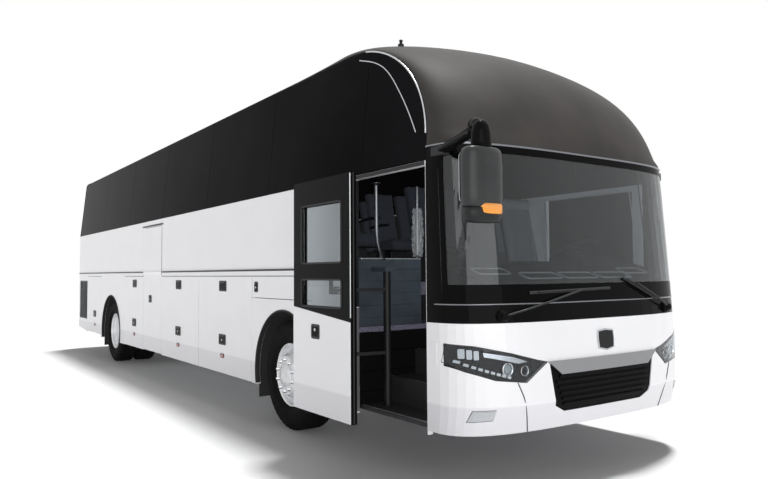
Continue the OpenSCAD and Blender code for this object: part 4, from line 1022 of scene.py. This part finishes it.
upper = [(-1.2735, 1.215), (-1.2315, 1.215), (-1.2315, 2.243), (-1.2735, 2.243)]
skin("rear_jamb_cover", upper, on_jamb, 0.003, 0.0028, "coach", satin_black, 0.2, 0.001)
lower = [(-1.2735, 0.38), (-1.2315, 0.38), (-1.2315, 1.21), (-1.2735, 1.21)]
# painted shade: this mid grey stands for the aperture's pale return in shadow
jamb_painted_shade_grey = finish("jamb_grey_painted_shade", "#6b6b6e", 0.7)
grain(jamb_painted_shade_grey, 160.0, 0.001, "ShaderNodeTexWave")
skin("rear_jamb_seal", lower, on_jamb, 0.003, 0.0028, "coach", jamb_painted_shade_grey, 0.2, 0.001)
print("doorway trimmed")

# %% [markdown]
# ## Side fittings
# Every flap has a flush pull at its lower edge and a lock above, in black cups, with a
# red reflector under it. The middle door has a latch like the entrance's and a drip rail
# over it. Rubber lips edge the wheel arches so that the tyre never touches paint.

# %% Side fittings
def cup(name, v, z, wide, high, body, side, lock=True):
    place = lambda u, w, out: on_side(u, w, out, side)
    low, top = z - high / 2, z + high / 2
    skin(name + "_plate", rounded(v - wide / 2, v + wide / 2, low, top, 0.018), place,
         0.005, 0.005, body, satin_black, 0.3, 0.0015)
    skin(name + "_recess", rounded(v - wide / 2 + 0.018, v + wide / 2 - 0.018, low + 0.016,
                                   top - 0.03, 0.012), place, 0.0065, 0.003, body, frit, 0.3)
    grip = [place(v - wide / 2 + 0.03, top - 0.022, 0.006),
            place(v + wide / 2 - 0.03, top - 0.022, 0.006)]
    tube(name + "_grip", grip, 0.008, body, satin_black, sides=10)
    if lock:
        lathe(name + "_lock", [(0.0, 0.012), (0.004, 0.0115), (0.005, 0.008), (0.0055, 0.001)],
              place(v, z - 0.005, 0.006), (side, 0, 0), body, chrome, sides=20)


def reflector(name, v, z, body, side):
    place = lambda u, w, out: on_side(u, w, out, side)
    skin(name + "_base", rounded(v - 0.052, v + 0.052, z - 0.024, z + 0.024, 0.014), place,
         0.004, 0.004, body, satin_black, 0.3)
    skin(name + "_lens", rounded(v - 0.046, v + 0.046, z - 0.018, z + 0.018, 0.011), place,
         0.009, 0.006, body, red_lens, 0.3, 0.003)


LIP_R, ARCH_R = 0.616, 0.6105
FLAPS = {"right": (-1, ((4.22, "right_1"), (5.734, "right_2"), (7.8, "right_3"))),
         "left": (1, ((4.2, "left_1"), (5.71, "left_2"), (7.39, "left_3")))}
for hand, (side, flaps) in FLAPS.items():
    for v, flap in flaps:
        body = "luggage_door_" + flap
        cup(f"flap_lock_{flap}", v, 0.751, 0.2, 0.12, body, side)
        cup(f"flap_pull_{flap}", v - 0.01, 1.354, 0.21, 0.12, body, side, lock=False)
        reflector(f"side_marker_{flap}", v, 0.57, body, side)
    cup(f"engine_flap_lock_{hand}", 10.45, 0.77, 0.2, 0.12, "engine_door_" + hand, side)
    reflector(f"side_marker_engine_{hand}", 10.45, 0.57, "engine_door_" + hand, side)
    for end, v in (("front", FRONT_V), ("rear", REAR_V)):
        turns = [math.radians(-13.5 + 207 * k / 48) for k in range(49)]
        arc = [on_side(v + LIP_R * math.cos(a), AXLE_Z + LIP_R * math.sin(a), 0.001, side)
               for a in turns]
        tube(f"arch_lip_{end}_{hand}", arc, 0.009, "coach", seal_rubber, sides=8)
        rows = [[at(side * x, v + ARCH_R * math.cos(a), AXLE_Z + ARCH_R * math.sin(a))
                 for x in (1.2745, 1.255, 1.2315)] for a in turns]
        grid_shell(f"arch_edge_cover_{end}_{hand}", rows, 0.0015, "coach", arch_liner)
cup("fuel_flap_lock", 3.316, 1.355, 0.085, 0.11, "fuel_door", -1)
cup("middle_door_latch", 6.973, 1.138, 0.13, 0.109, "middle_door", -1)
skin("middle_door_drip_rail", [(6.4, 2.192), (7.35, 2.192), (7.35, 2.214), (6.4, 2.214)],
     on_side, 0.012, 0.012, "coach", satin_black, 0.3, 0.003)
seal = rounded(0.62, 1.64, 1.56, 2.225, 0.02)
tube("cab_window_seal", [on_side(v, z, 0.001, 1) for v, z in seal + seal[:1]], 0.009,
     "coach", seal_rubber, sides=8)
louvre_grey = finish("grey_louvre_paint", "#5c5d5f", 0.5)
mottle(louvre_grey, "#525355", "#666769", 6.0)
GAPS = [(flap, edge) for flap in CAD_FINISH[enamel] if "luggage" in flap or "engine_f" in flap
        for edge in (0, 1)] + [("mid_door", 1)]
for flap, edge in GAPS:
    low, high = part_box(flap)
    side = 1 if high[0] > 0 else -1
    v = (low, high)[edge][1] - NOSE_Y + (0.004 if edge else -0.004)
    path = [on_side(v, z, -0.007, side) for z in (low[2] + 0.01, high[2] - 0.01)]
    tube(f"gap_seal_{flap}_{edge + 1}", path, 0.003, "coach", seal_rubber, sides=6)
for side, hand in SIDES:
    for i in range(15):
        v = 11.115 + 0.045 * i
        path = [on_side(v, 0.66, -0.004, side), on_side(v, 1.36, -0.004, side)]
        tube(f"louvre_blade_{hand}_{i + 1}", path, 0.0035, "coach", louvre_grey, sides=6)
print("flap pulls, markers and arch lips")

# %% [markdown]
# ## Cab and doorway interior
# A curved stainless rail runs from the header down to the partition, whose top edge has
# a bright capping. The dash carries vents along the glass, three dials under its hood, a
# display and switches, and every step ends in a ribbed nosing.

# %% Cab interior
rail = smooth_path([at(-1.045, 1.465, 2.235), at(-1.045, 1.465, 1.95),
                    at(-1.04, 1.47, 1.78), at(-1.0, 1.49, 1.68),
                    at(-0.965, 1.505, 1.615)], 3)
stainless = finish("brushed_stainless_rail", "#8f9194", 0.3, metallic=1.0)
uneven(stainless, 0.22, 0.38, 60.0)
tube("doorway_grab_rail", rail, 0.017, "coach", stainless, sides=16)
lathe("grab_rail_flange", [(0.0, 0.04), (0.006, 0.039), (0.008, 0.02), (0.02, 0.018)],
      at(-1.045, 1.465, 2.24), (0, 0, -1), "coach", stainless, sides=28)
lathe("grab_rail_collar", [(0.0, 0.034), (0.008, 0.032), (0.014, 0.02), (0.03, 0.018)],
      at(-0.965, 1.505, 1.6035), (0, 0, 1), "coach", stainless, sides=28)
block("partition_capping", at(-1.187, 1.484, 1.6005),
      at(-0.56, 1.526, 1.616), "coach", bright_chrome, 0.004)
for i in range(5):
    z = 1.12 + 0.1 * i
    path = [at(-1.17, 1.4885, z), at(-0.58, 1.4885, z)]
    tube(f"partition_rib_{i + 1}", path, 0.003, "coach", laminate, sides=6)


def on_dash(x, v, out=0.0):
    """The dash top: its slope up from the glass, its crown and the slope behind."""
    line = ((0.17, 1.42), (0.4, 1.51), (0.64, 1.575), (0.76, 1.54))
    for (v0, z0), (v1, z1) in zip(line, line[1:]):
        if v <= v1 or v1 == 0.76:
            z = z0 + (z1 - z0) * (v - v0) / (v1 - v0)
            return at(x, v, z + out)


vent_grey = finish("silver_painted_vent_frame", "#a9abad", 0.45, metallic=0.2)
uneven(vent_grey, 0.35, 0.55, 30.0)
for i, x in enumerate((-0.82, -0.4, 0.02, 0.44, 0.82)):
    reach = 0.155 if abs(x) > 0.5 else 0.19
    near = 0.30 if abs(x) > 0.7 else 0.215
    ring = rounded(x - reach, x + reach, near, near + 0.105, 0.03)
    path = [on_dash(u, w, 0.003) for u, w in ring + ring[:1]]
    tube(f"defroster_frame_{i + 1}", path, 0.008, "coach", vent_grey, sides=8)
    for k in range(4):
        w = near + 0.02 + 0.022 * k
        path = [on_dash(x - reach + 0.03, w, 0.002), on_dash(x + reach - 0.03, w, 0.002)]
        tube(f"defroster_slat_{i + 1}_{k + 1}", path, 0.0045, "coach", satin_black, sides=6)
screen_black = finish("instrument_display_glass", "#08090b", 0.06, coat=0.6)
uneven(screen_black, 0.04, 0.1, 15.0)
dial_face = finish("printed_dial_face", "#c9cdd2", 0.4)
mottle(dial_face, "#bfc4ca", "#d3d6da", 40.0)
for i, (x, r) in enumerate(((0.5, 0.062), (0.66, 0.062), (0.775, 0.036))):
    dial = at(x, 0.713, 1.53)
    ring = [(0.0, r), (0.006, r), (0.009, r * 0.94), (0.004, r * 0.9), (0.0, r * 0.9)]
    lathe(f"dial_ring_{i + 1}", ring, dial, (0, 1, 0.12), "coach", chrome,
          closed=True)
    lathe(f"dial_face_{i + 1}", [(0.0, r * 0.9), (0.002, r * 0.89), (0.0025, 0.001)], dial,
          (0, 1, 0.12), "coach", dial_face)
block("centre_display", at(0.1, 0.757, 1.42), at(0.32, 0.772, 1.53), "coach",
      screen_black, 0.006)
for i in range(6):
    x = -0.05 - 0.045 * i
    block(f"rocker_switch_{i + 1}", at(x - 0.018, 0.757, 1.44),
          at(x + 0.018, 0.768, 1.48), "coach", satin_black, 0.003)
rim = []
turn_wheel = Matrix.Rotation(math.radians(-25), 3, "X")
centre = at(0.62, 0.79, 1.665)
for k in range(61):
    a = 2 * math.pi * k / 60
    rim.append(centre + turn_wheel @ Vector((0.215 * math.cos(a), 0.215 * math.sin(a), 0)))
tube("steering_rim_cover", rim, 0.0158, "coach", dash_pvc, sides=14)
lathe("steering_pad", [(0.011, 0.058), (0.016, 0.055), (0.021, 0.04), (0.023, 0.001)],
      centre, turn_wheel @ Vector((0, 0, 1)), "coach", dash_pvc, sides=36)
for i, (x, z) in enumerate(((-1.216, 0.43), (-0.938, 0.6367), (-0.659, 0.8433),
                            (-0.379, 1.05))):
    for k in range(3):
        path = [at(x + 0.012 + 0.014 * k, v, z + 0.001) for v in (0.535, 1.44)]
        tube(f"step_nosing_{i + 1}_{k + 1}", path, 0.005, "coach",
             aluminium if k == 0 else seal_rubber, sides=8)
print("cab and doorway fitted")


# %% [markdown]
# ## Seats
# A coach seat is two stuffed pads on a steel frame. Each pad starts as a slightly small
# block, is blown up as cloth so that its faces crown and its sides pull in, and is then
# creased along its sewn channels. One of each is simulated and the rest share its mesh.

# %% Pads
VOXEL, PRESSURE, CAP = 0.018, 3.0, 0.012
CHANNEL_HALF = 0.009
CLOTH_FRAMES = 14


def stuffed(name, size, channels):
    """A pad of this size about its own middle: cloth inflated, capped and channelled."""
    bm = bmesh.new()
    bmesh.ops.create_cube(bm, size=1.0)
    for v in bm.verts:
        v.co = Vector([v.co[i] * size[i] for i in range(3)])
    bmesh.ops.bevel(bm, geom=bm.edges[:], offset=min(size) * 0.26, segments=3, profile=0.6,
                    affect="EDGES")
    data = bpy.data.meshes.new(name)
    bm.to_mesh(data)
    bm.free()
    pad = bpy.data.objects.new(name, data)
    scene.collection.objects.link(pad)
    remesh = pad.modifiers.new("voxels", "REMESH")
    remesh.mode = "VOXEL"
    remesh.voxel_size = VOXEL
    made = bpy.data.meshes.new_from_object(
        pad.evaluated_get(bpy.context.evaluated_depsgraph_get()))
    pad.modifiers.clear()
    pad.data = made
    before = [v.co.copy() for v in made.vertices]
    cloth = pad.modifiers.new("cloth", "CLOTH")
    cloth.settings.use_pressure = True
    cloth.settings.uniform_pressure_force = PRESSURE
    cloth.settings.effector_weights.gravity = 0.0
    cloth.settings.quality = 5
    for frame_number in range(1, CLOTH_FRAMES + 1):
        scene.frame_set(frame_number)
    blown = bpy.data.meshes.new_from_object(
        pad.evaluated_get(bpy.context.evaluated_depsgraph_get()))
    pad.modifiers.clear()
    pad.data = blown
    scene.frame_set(1)
    for v, start in zip(pad.data.vertices, before):
        moved = v.co - start
        if moved.length > CAP:
            v.co = start + moved.normalized() * CAP
    for v in pad.data.vertices:
        for axis, spot, depth in channels:
            near = math.exp(-((v.co[axis] - spot) / CHANNEL_HALF) ** 2)
            if v.co.z > 0:
                v.co.z -= depth * near
    pad.data.shade_smooth()
    return pad


cushion = stuffed("seat_cushion_form", (0.4, 0.43, 0.1),
                  [(0, -0.12, 0.011), (0, 0.12, 0.011), (1, -0.14, 0.009)])
backrest = stuffed("seat_back_form", (0.39, 0.64, 0.085),
                   [(0, -0.11, 0.011), (0, 0.11, 0.011), (1, 0.13, 0.012)])
for form in (cushion, backrest):
    print(form.name, len(form.data.polygons), "faces,",
          [round(c, 3) for c in form.dimensions])


def pad_at(form, name, place, lean, length, target):
    """Lays a shared pad in place of target; lean turns it up from flat on its back."""
    pad = bpy.data.objects.new(name, form.data)
    scene.collection.objects.link(pad)
    pad.matrix_world = (Matrix.Translation(place) @ Matrix.Rotation(math.radians(lean), 4, "X")
                        @ Matrix.Diagonal((1, length, 1, 1)))
    if not pad.data.materials:
        pad.data.materials.append(seat_cloth)
    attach(pad, "coach")
    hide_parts(target)


SEAT_TOP = 1.09
BACK_LENGTH = 0.66


def seat(name, x, v, floor_z, high, target):
    pad_at(cushion, name + "_cushion", at(x, v + 0.252, floor_z + high - 0.068), -3.5, 1,
           target)
    middle = (SEAT_TOP + high - 0.03) / 2
    pad_at(backrest, name + "_back", at(x, v + 0.548, floor_z + middle + 0.005), 77.6,
           (SEAT_TOP - high) / BACK_LENGTH, target)
    under = floor_z + high - 0.135
    block(name + "_pan", at(x - 0.19, v + 0.05, under), at(x + 0.19, v + 0.46, under + 0.015),
          "coach", satin_black, 0.004)
    block(name + "_pedestal", at(x - 0.11, v + 0.19, floor_z + 0.002),
          at(x + 0.11, v + 0.33, under), "coach", satin_black, 0.01)


seats = 0
for row in range(11):
    v = 2.32 + 0.8 * row
    for side in (1, -1):
        if side < 0 and v + 0.7 >= 6.444 and v <= 7.309:
            continue
        for k, x in enumerate((0.545, 0.98)):
            seat(f"seat_{row + 1}_{'l' if side > 0 else 'r'}{k + 1}", side * x, v, 1.4, 0.48,
                 "passenger_seats")
            seats += 1
        tube(f"armrest_{row + 1}_{'l' if side > 0 else 'r'}",
             smooth_path([at(side * 0.338, v + 0.48, 2.03),
                          at(side * 0.338, v + 0.3, 2.05),
                          at(side * 0.338, v + 0.1, 2.045)], 2),
             0.016, "coach", satin_black, sides=8)
DRIVER_X = 0.62
seat("driver_seat", DRIVER_X, 0.9, 1.05, 0.4, "driver_seat")
bpy.data.objects.remove(cushion)
bpy.data.objects.remove(backrest)
print(seats, "passenger seats and the driver's")


# %% [markdown]
# ## Clear covers
# New coaches leave the works with polythene over what gets touched. One film is draped
# over the driver's backrest and one is wrapped round the partition's end pole. Film
# keeps its size, so each is a thin sheet with small folds rather than a stretched skin.

# %% Film covers
def film(name, rows):
    """A sheet without thickness through rows of points."""
    n, m = len(rows), len(rows[0])
    verts = [p for row in rows for p in row]
    faces = [[i * m + j, i * m + j + 1, (i + 1) * m + j + 1, (i + 1) * m + j]
             for i in range(n - 1) for j in range(m - 1)]
    obj = mesh_object(name, verts, faces)
    keep(obj, "coach", cover_film)
    print(name, "area", round(sum(p.area for p in obj.data.polygons), 3), "square metres")
    return obj


def ripple(a, b):
    return (math.sin(23 * a + 9 * b) + math.sin(41 * a - 17 * b + 1.3)
            + math.sin(13 * a + 37 * b + 2.1)) / 3


over = [Vector(p) for p in ((1.285, 1.5), (1.31, 1.62), (1.337, 1.74), (1.363, 1.86),
                            (1.39, 1.98), (1.416, 2.09), (1.44, 2.15), (1.475, 2.182),
                            (1.52, 2.186), (1.555, 2.165), (1.575, 2.12), (1.57, 2.04),
                            (1.545, 1.92), (1.52, 1.8), (1.495, 1.68))]
line = []
for a, b in zip(over, over[1:]):
    line += [a.lerp(b, k / 4) for k in range(4)]
line.append(over[-1])
rows = []
for i, p in enumerate(line):
    ahead = (line[min(i + 1, len(line) - 1)] - line[max(i - 1, 0)]).normalized()
    row = []
    for j in range(33):
        u = j / 32 - 0.5
        lift = 0.006 + 0.006 * ripple(u * 1.4, i / 30)
        drop = max(0.0, abs(u) - 0.42) * 0.5
        row.append(at(DRIVER_X + u * 0.49, p.x - ahead.y * (lift - drop),
                      p.y + ahead.x * (lift - drop)))
    rows.append(row)
cover = film("driver_backrest_film", rows)

POLE_X, POLE_V = -0.585, 1.503
pole = [at(POLE_X, POLE_V, 1.618), at(POLE_X, POLE_V, 2.0),
        at(POLE_X, POLE_V, 2.246)]
tube("partition_pole", pole, 0.016, "coach", stainless, sides=16)
lathe("partition_pole_flange", [(0.0, 0.038), (0.006, 0.037), (0.01, 0.02), (0.03, 0.0175)],
      at(POLE_X, POLE_V, 1.6165), (0, 0, 1), "coach", stainless, sides=28)
rows = []
for i in range(41):
    w = i / 40
    row = []
    for j in range(57):
        a = 2.15 * math.pi * j / 56
        r = 0.024 + 0.02 * math.sin(math.pi * (0.15 + 0.8 * w)) + 0.0025 * a
        r += 0.011 * ripple(a * 0.21, w * 0.8) + 0.003 * math.sin(a * 9 + 40 * w)
        row.append(at(POLE_X + r * math.cos(a), POLE_V + r * math.sin(a) * 0.7,
                      1.63 + 0.42 * w))
    rows.append(row)
wrap = film("partition_pole_film", rows)

# %% [markdown]
# ## Saloon and stepwell linings
# The saloon walls are lined with dark grey trim panels, joined by raised strips; their dark
# grey is partly painted shade for the saloon, which the shadowless fills light through the
# walls. The stairwell is closed at its rear end by a pressed sheet with three stiffening
# ribs, so that nobody sees or steps through to the chassis. It stands just behind the treads.

# %% Saloon and stepwell linings
# partly painted shade: the dark grey darkens inner walls that the shadowless fills light
saloon_trim_and_painted_shade = finish("wall_trim_and_painted_shade", "#2a2b2e", 0.7)
mottle(saloon_trim_and_painted_shade, "#252629", "#303135", 4.0)
for side, hand, runs in ((-1, "right", ((1.9, 6.38), (7.37, 11.5))), (1, "left", ((1.9, 11.5),))):
    for n, (v0, v1) in enumerate(runs):
        wall = lambda v, z, out, side=side: at(side * (1.2285 - out), v, z)
        panel = [(v0, 1.41), (v1, 1.41), (v1, 2.268), (v0, 2.268)]
        skin(f"saloon_lining_{hand}_{n + 1}", panel, wall, 0.002, 0.002, "coach", saloon_trim_and_painted_shade,
             0.8)
        for k, z in enumerate((1.62, 1.9, 2.18)):
            strip = [wall(v0 + 0.02, z, 0.003), wall(v1 - 0.02, z, 0.003)]
            tube(f"saloon_strip_{hand}_{n + 1}_{k + 1}", strip, 0.008, "coach", saloon_trim_and_painted_shade,
                 sides=8)


def on_well(x, z, out=0.0):
    return at(x, 1.455 - out, z)


skin("stepwell_end_lining", [(-1.226, 0.402), (-0.33, 0.402), (-0.33, 1.006), (-1.226, 1.006)],
     on_well, 0.003, 0.003, "coach", black_abs, 0.2, 0.001)
for i in range(3):
    z = 0.53 + 0.16 * i
    tube(f"stepwell_rib_{i + 1}", [on_well(-1.19, z, 0.003), on_well(-0.37, z, 0.003)], 0.006,
         "coach", black_abs, sides=8)
print("stepwell lined")

# %% [markdown]
# ## Tail
# The rear lamps are red clusters with an amber and a clear chamber below, each a
# prismatic lens in a black gasket. A high brake lamp, a blank plate with its lamps, the
# rear window's rubber and a stainless tail pipe finish the back.

# %% Tail
def tail_place(x, z, out=0.0):
    def v_at(x, z):
        mid = 12.0 - 0.11 * max(0.0, z - 1.5) / (CANT_Z - 1.5)
        across = min(abs(x) / side_x(z), 1.0) ** 3.4
        return mid - (mid - 11.81) * (1 - (1 - across) ** (1 / 3.4))
    x = max(-1.272, min(1.272, x))
    e = 0.002
    normal = Vector(((v_at(x - e, z) - v_at(x + e, z)) / (2 * e), 1,
                     (v_at(x, z - e) - v_at(x, z + e)) / (2 * e))).normalized()
    return at(x, v_at(x, z), z) + normal * out


clear_lens = finish("clear_ribbed_lens", "#d7dade", 0.15, coat=0.5)
grain(clear_lens, 70.0, 0.001, "ShaderNodeTexWave")
for side, hand in SIDES:
    place = lambda x, z, out: tail_place(side * x, z, out)
    edge = [(1.01, 0.78), (1.235, 0.78), (1.235, 1.5), (1.05, 1.5)]
    rim = []
    for (x0, z0), (x1, z1) in zip(edge, edge[1:] + edge[:1]):
        rim += [place(x0 + (x1 - x0) * k / 8, z0 + (z1 - z0) * k / 8, -0.003)
                for k in range(8)]
    tube(f"tail_lamp_gasket_{hand}", rim + rim[:1], 0.006, "coach", seal_rubber, sides=8)
    for k, (z0, z1, lens) in enumerate(((0.8, 0.94, clear_lens), (0.955, 1.115, amber_lens),
                                        (1.13, 1.3, red_lens), (1.315, 1.48, red_lens))):
        inner = 1.01 + 0.04 * (z0 + z1 - 1.56) / 1.44 + 0.022
        skin(f"tail_lens_{hand}_{k + 1}", rounded(inner, 1.215, z0, z1, 0.02), place, 0.0,
             0.006, "coach", lens, 0.03, 0.002)
        for rib in range(5):
            z = z0 + (z1 - z0) * (rib + 0.8) / 5.6
            path = [place(inner + 0.02 + (1.195 - inner - 0.02) * i / 6, z, 0.0)
                    for i in range(7)]
            tube(f"tail_lens_rib_{hand}_{k + 1}_{rib + 1}", path, 0.003, "coach", lens,
                 sides=6)
    seam = [place(0.9 + 0.36 * k / 12, 0.62, 0.0) for k in range(13)]
    tube(f"bumper_seam_{hand}", seam, 0.0035, "coach", seal_rubber, sides=6)
    skin(f"rear_reflector_{hand}", rounded(0.98, 1.12, 0.53, 0.575, 0.012), place, 0.004,
         0.006, "coach", red_lens, 0.03, 0.002)
glass = [(-0.86, 2.48), (0.86, 2.48), (0.8, 3.08), (-0.8, 3.08)]
rim = []
for (x0, z0), (x1, z1) in zip(glass, glass[1:] + glass[:1]):
    rim += [tail_place(x0 + (x1 - x0) * k / 16, z0 + (z1 - z0) * k / 16, 0.0)
            for k in range(16)]
tube("rear_window_rubber", rim + rim[:1], 0.012, "coach", seal_rubber, sides=10)
skin("high_brake_lamp", rounded(-0.3, 0.3, 3.13, 3.165, 0.012), tail_place, 0.006, 0.006,
     "coach", red_lens, 0.05, 0.002)
skin("high_brake_lamp_base", rounded(-0.32, 0.32, 3.118, 3.177, 0.016), tail_place, 0.002,
     0.004, "coach", satin_black, 0.05, 0.001)
skin("plate_carrier", rounded(-0.28, 0.28, 1.6, 1.73, 0.012), tail_place, 0.003, 0.004,
     "coach", satin_black, 0.05, 0.001)
skin("blank_rear_plate", rounded(-0.26, 0.26, 1.61, 1.72, 0.01), tail_place, 0.0045, 0.003,
     "coach", aluminium, 0.05, 0.001)
for i, x in enumerate((-0.15, 0.15)):
    block(f"plate_lamp_{i + 1}", at(x - 0.03, 11.985, 1.745),
          at(x + 0.03, 11.999, 1.765), "coach", satin_black, 0.003)
pipe = [(0.0, 0.05), (0.34, 0.05), (0.345, 0.048), (0.34, 0.046), (0.02, 0.046), (0.0, 0.04)]
lathe("exhaust_tail_pipe", pipe, at(0.75, 11.6, 0.53), (0, 1, -0.1), "coach",
      stainless, sides=32, closed=True)
tube("exhaust_bend", smooth_path([at(0.75, 11.61, 0.53), at(0.75, 11.4, 0.55),
                                  at(0.6, 11.2, 0.56), at(0.3, 11.15, 0.58)], 3),
     0.042, "coach", cast_iron, sides=16)
soften(node["engine_lid"], 0.006)
print("tail dressed")

# %% [markdown]
# ## Roof
# A roof unit is a fibreglass cover over the condenser: fans draw air up through wire
# guards. The two escape hatches have a moulded rib round them and a pull bar each.

# %% Roof
gelcoat = finish("weathered_white_gelcoat", "#d4d4d1", 0.42)
mottle(gelcoat, "#c4c3be", "#dcdcda", 3.5)
uneven(gelcoat, 0.32, 0.6, 8.0)
node["roof_units"].data.materials.clear()
node["roof_units"].data.materials.append(gelcoat)
soften(node["roof_units"], 0.012, 3)


def top_of(v0, v1):
    return max(p.co.z for p in node["roof_units"].data.vertices
               if v0 <= p.co.y - NOSE_Y <= v1)


top = top_of(6.2, 9.0)
for i, v in enumerate((6.66, 7.29, 7.91, 8.54)):
    for side in (-1, 1):
        hub = at(side * 0.255, v, top)
        tag = f"{i + 1}_{'l' if side > 0 else 'r'}"
        lathe("fan_ring_" + tag, [(-0.004, 0.205), (0.014, 0.2), (0.018, 0.19), (0.012, 0.18),
                                  (-0.004, 0.178)], hub, (0, 0, 1), "coach", satin_black,
              closed=True)
        lathe("fan_well_" + tag, [(-0.004, 0.181), (0.0015, 0.18), (0.002, 0.001)], hub,
              (0, 0, 1), "coach", black_abs, sides=40)
        lathe("fan_hub_" + tag, [(0.0, 0.055), (0.01, 0.053), (0.013, 0.03), (0.0135, 0.001)],
              hub, (0, 0, 1), "coach", satin_black, sides=28)
        for k in range(3):
            r = 0.08 + 0.035 * k
            wire = [hub + Vector((r * math.cos(a), r * math.sin(a), 0.009))
                    for a in [2 * math.pi * q / 32 for q in range(33)]]
            tube(f"fan_wire_{tag}_{k + 1}", wire, 0.003, "coach", satin_black, sides=6)
        for k in range(6):
            a = math.pi * k / 3
            spoke = [hub + Vector((r * math.cos(a), r * math.sin(a), 0.0075))
                     for r in (0.05, 0.182)]
            tube(f"fan_spoke_{tag}_{k + 1}", spoke, 0.003, "coach", satin_black, sides=6)
for n, v in enumerate((4.1, 10.0)):
    z = top_of(v - 0.5, v + 0.5)
    half = 0.29
    bar = smooth_path([at(-0.09, v - half + 0.05, z - 0.002),
                       at(-0.09, v - half + 0.05, z + 0.028),
                       at(0.09, v - half + 0.05, z + 0.028),
                       at(0.09, v - half + 0.05, z - 0.002)], 3)
    tube(f"hatch_pull_{n + 1}", bar, 0.008, "coach", satin_black, sides=10)
    ring = rounded(-half, half, v - half, v + half, 0.05)
    path = [at(x, w, z + 0.0005) for x, w in ring + ring[:1]]
    tube(f"hatch_rib_{n + 1}", path, 0.006, "coach", gelcoat, sides=8)
print("roof units at", round(top, 3))
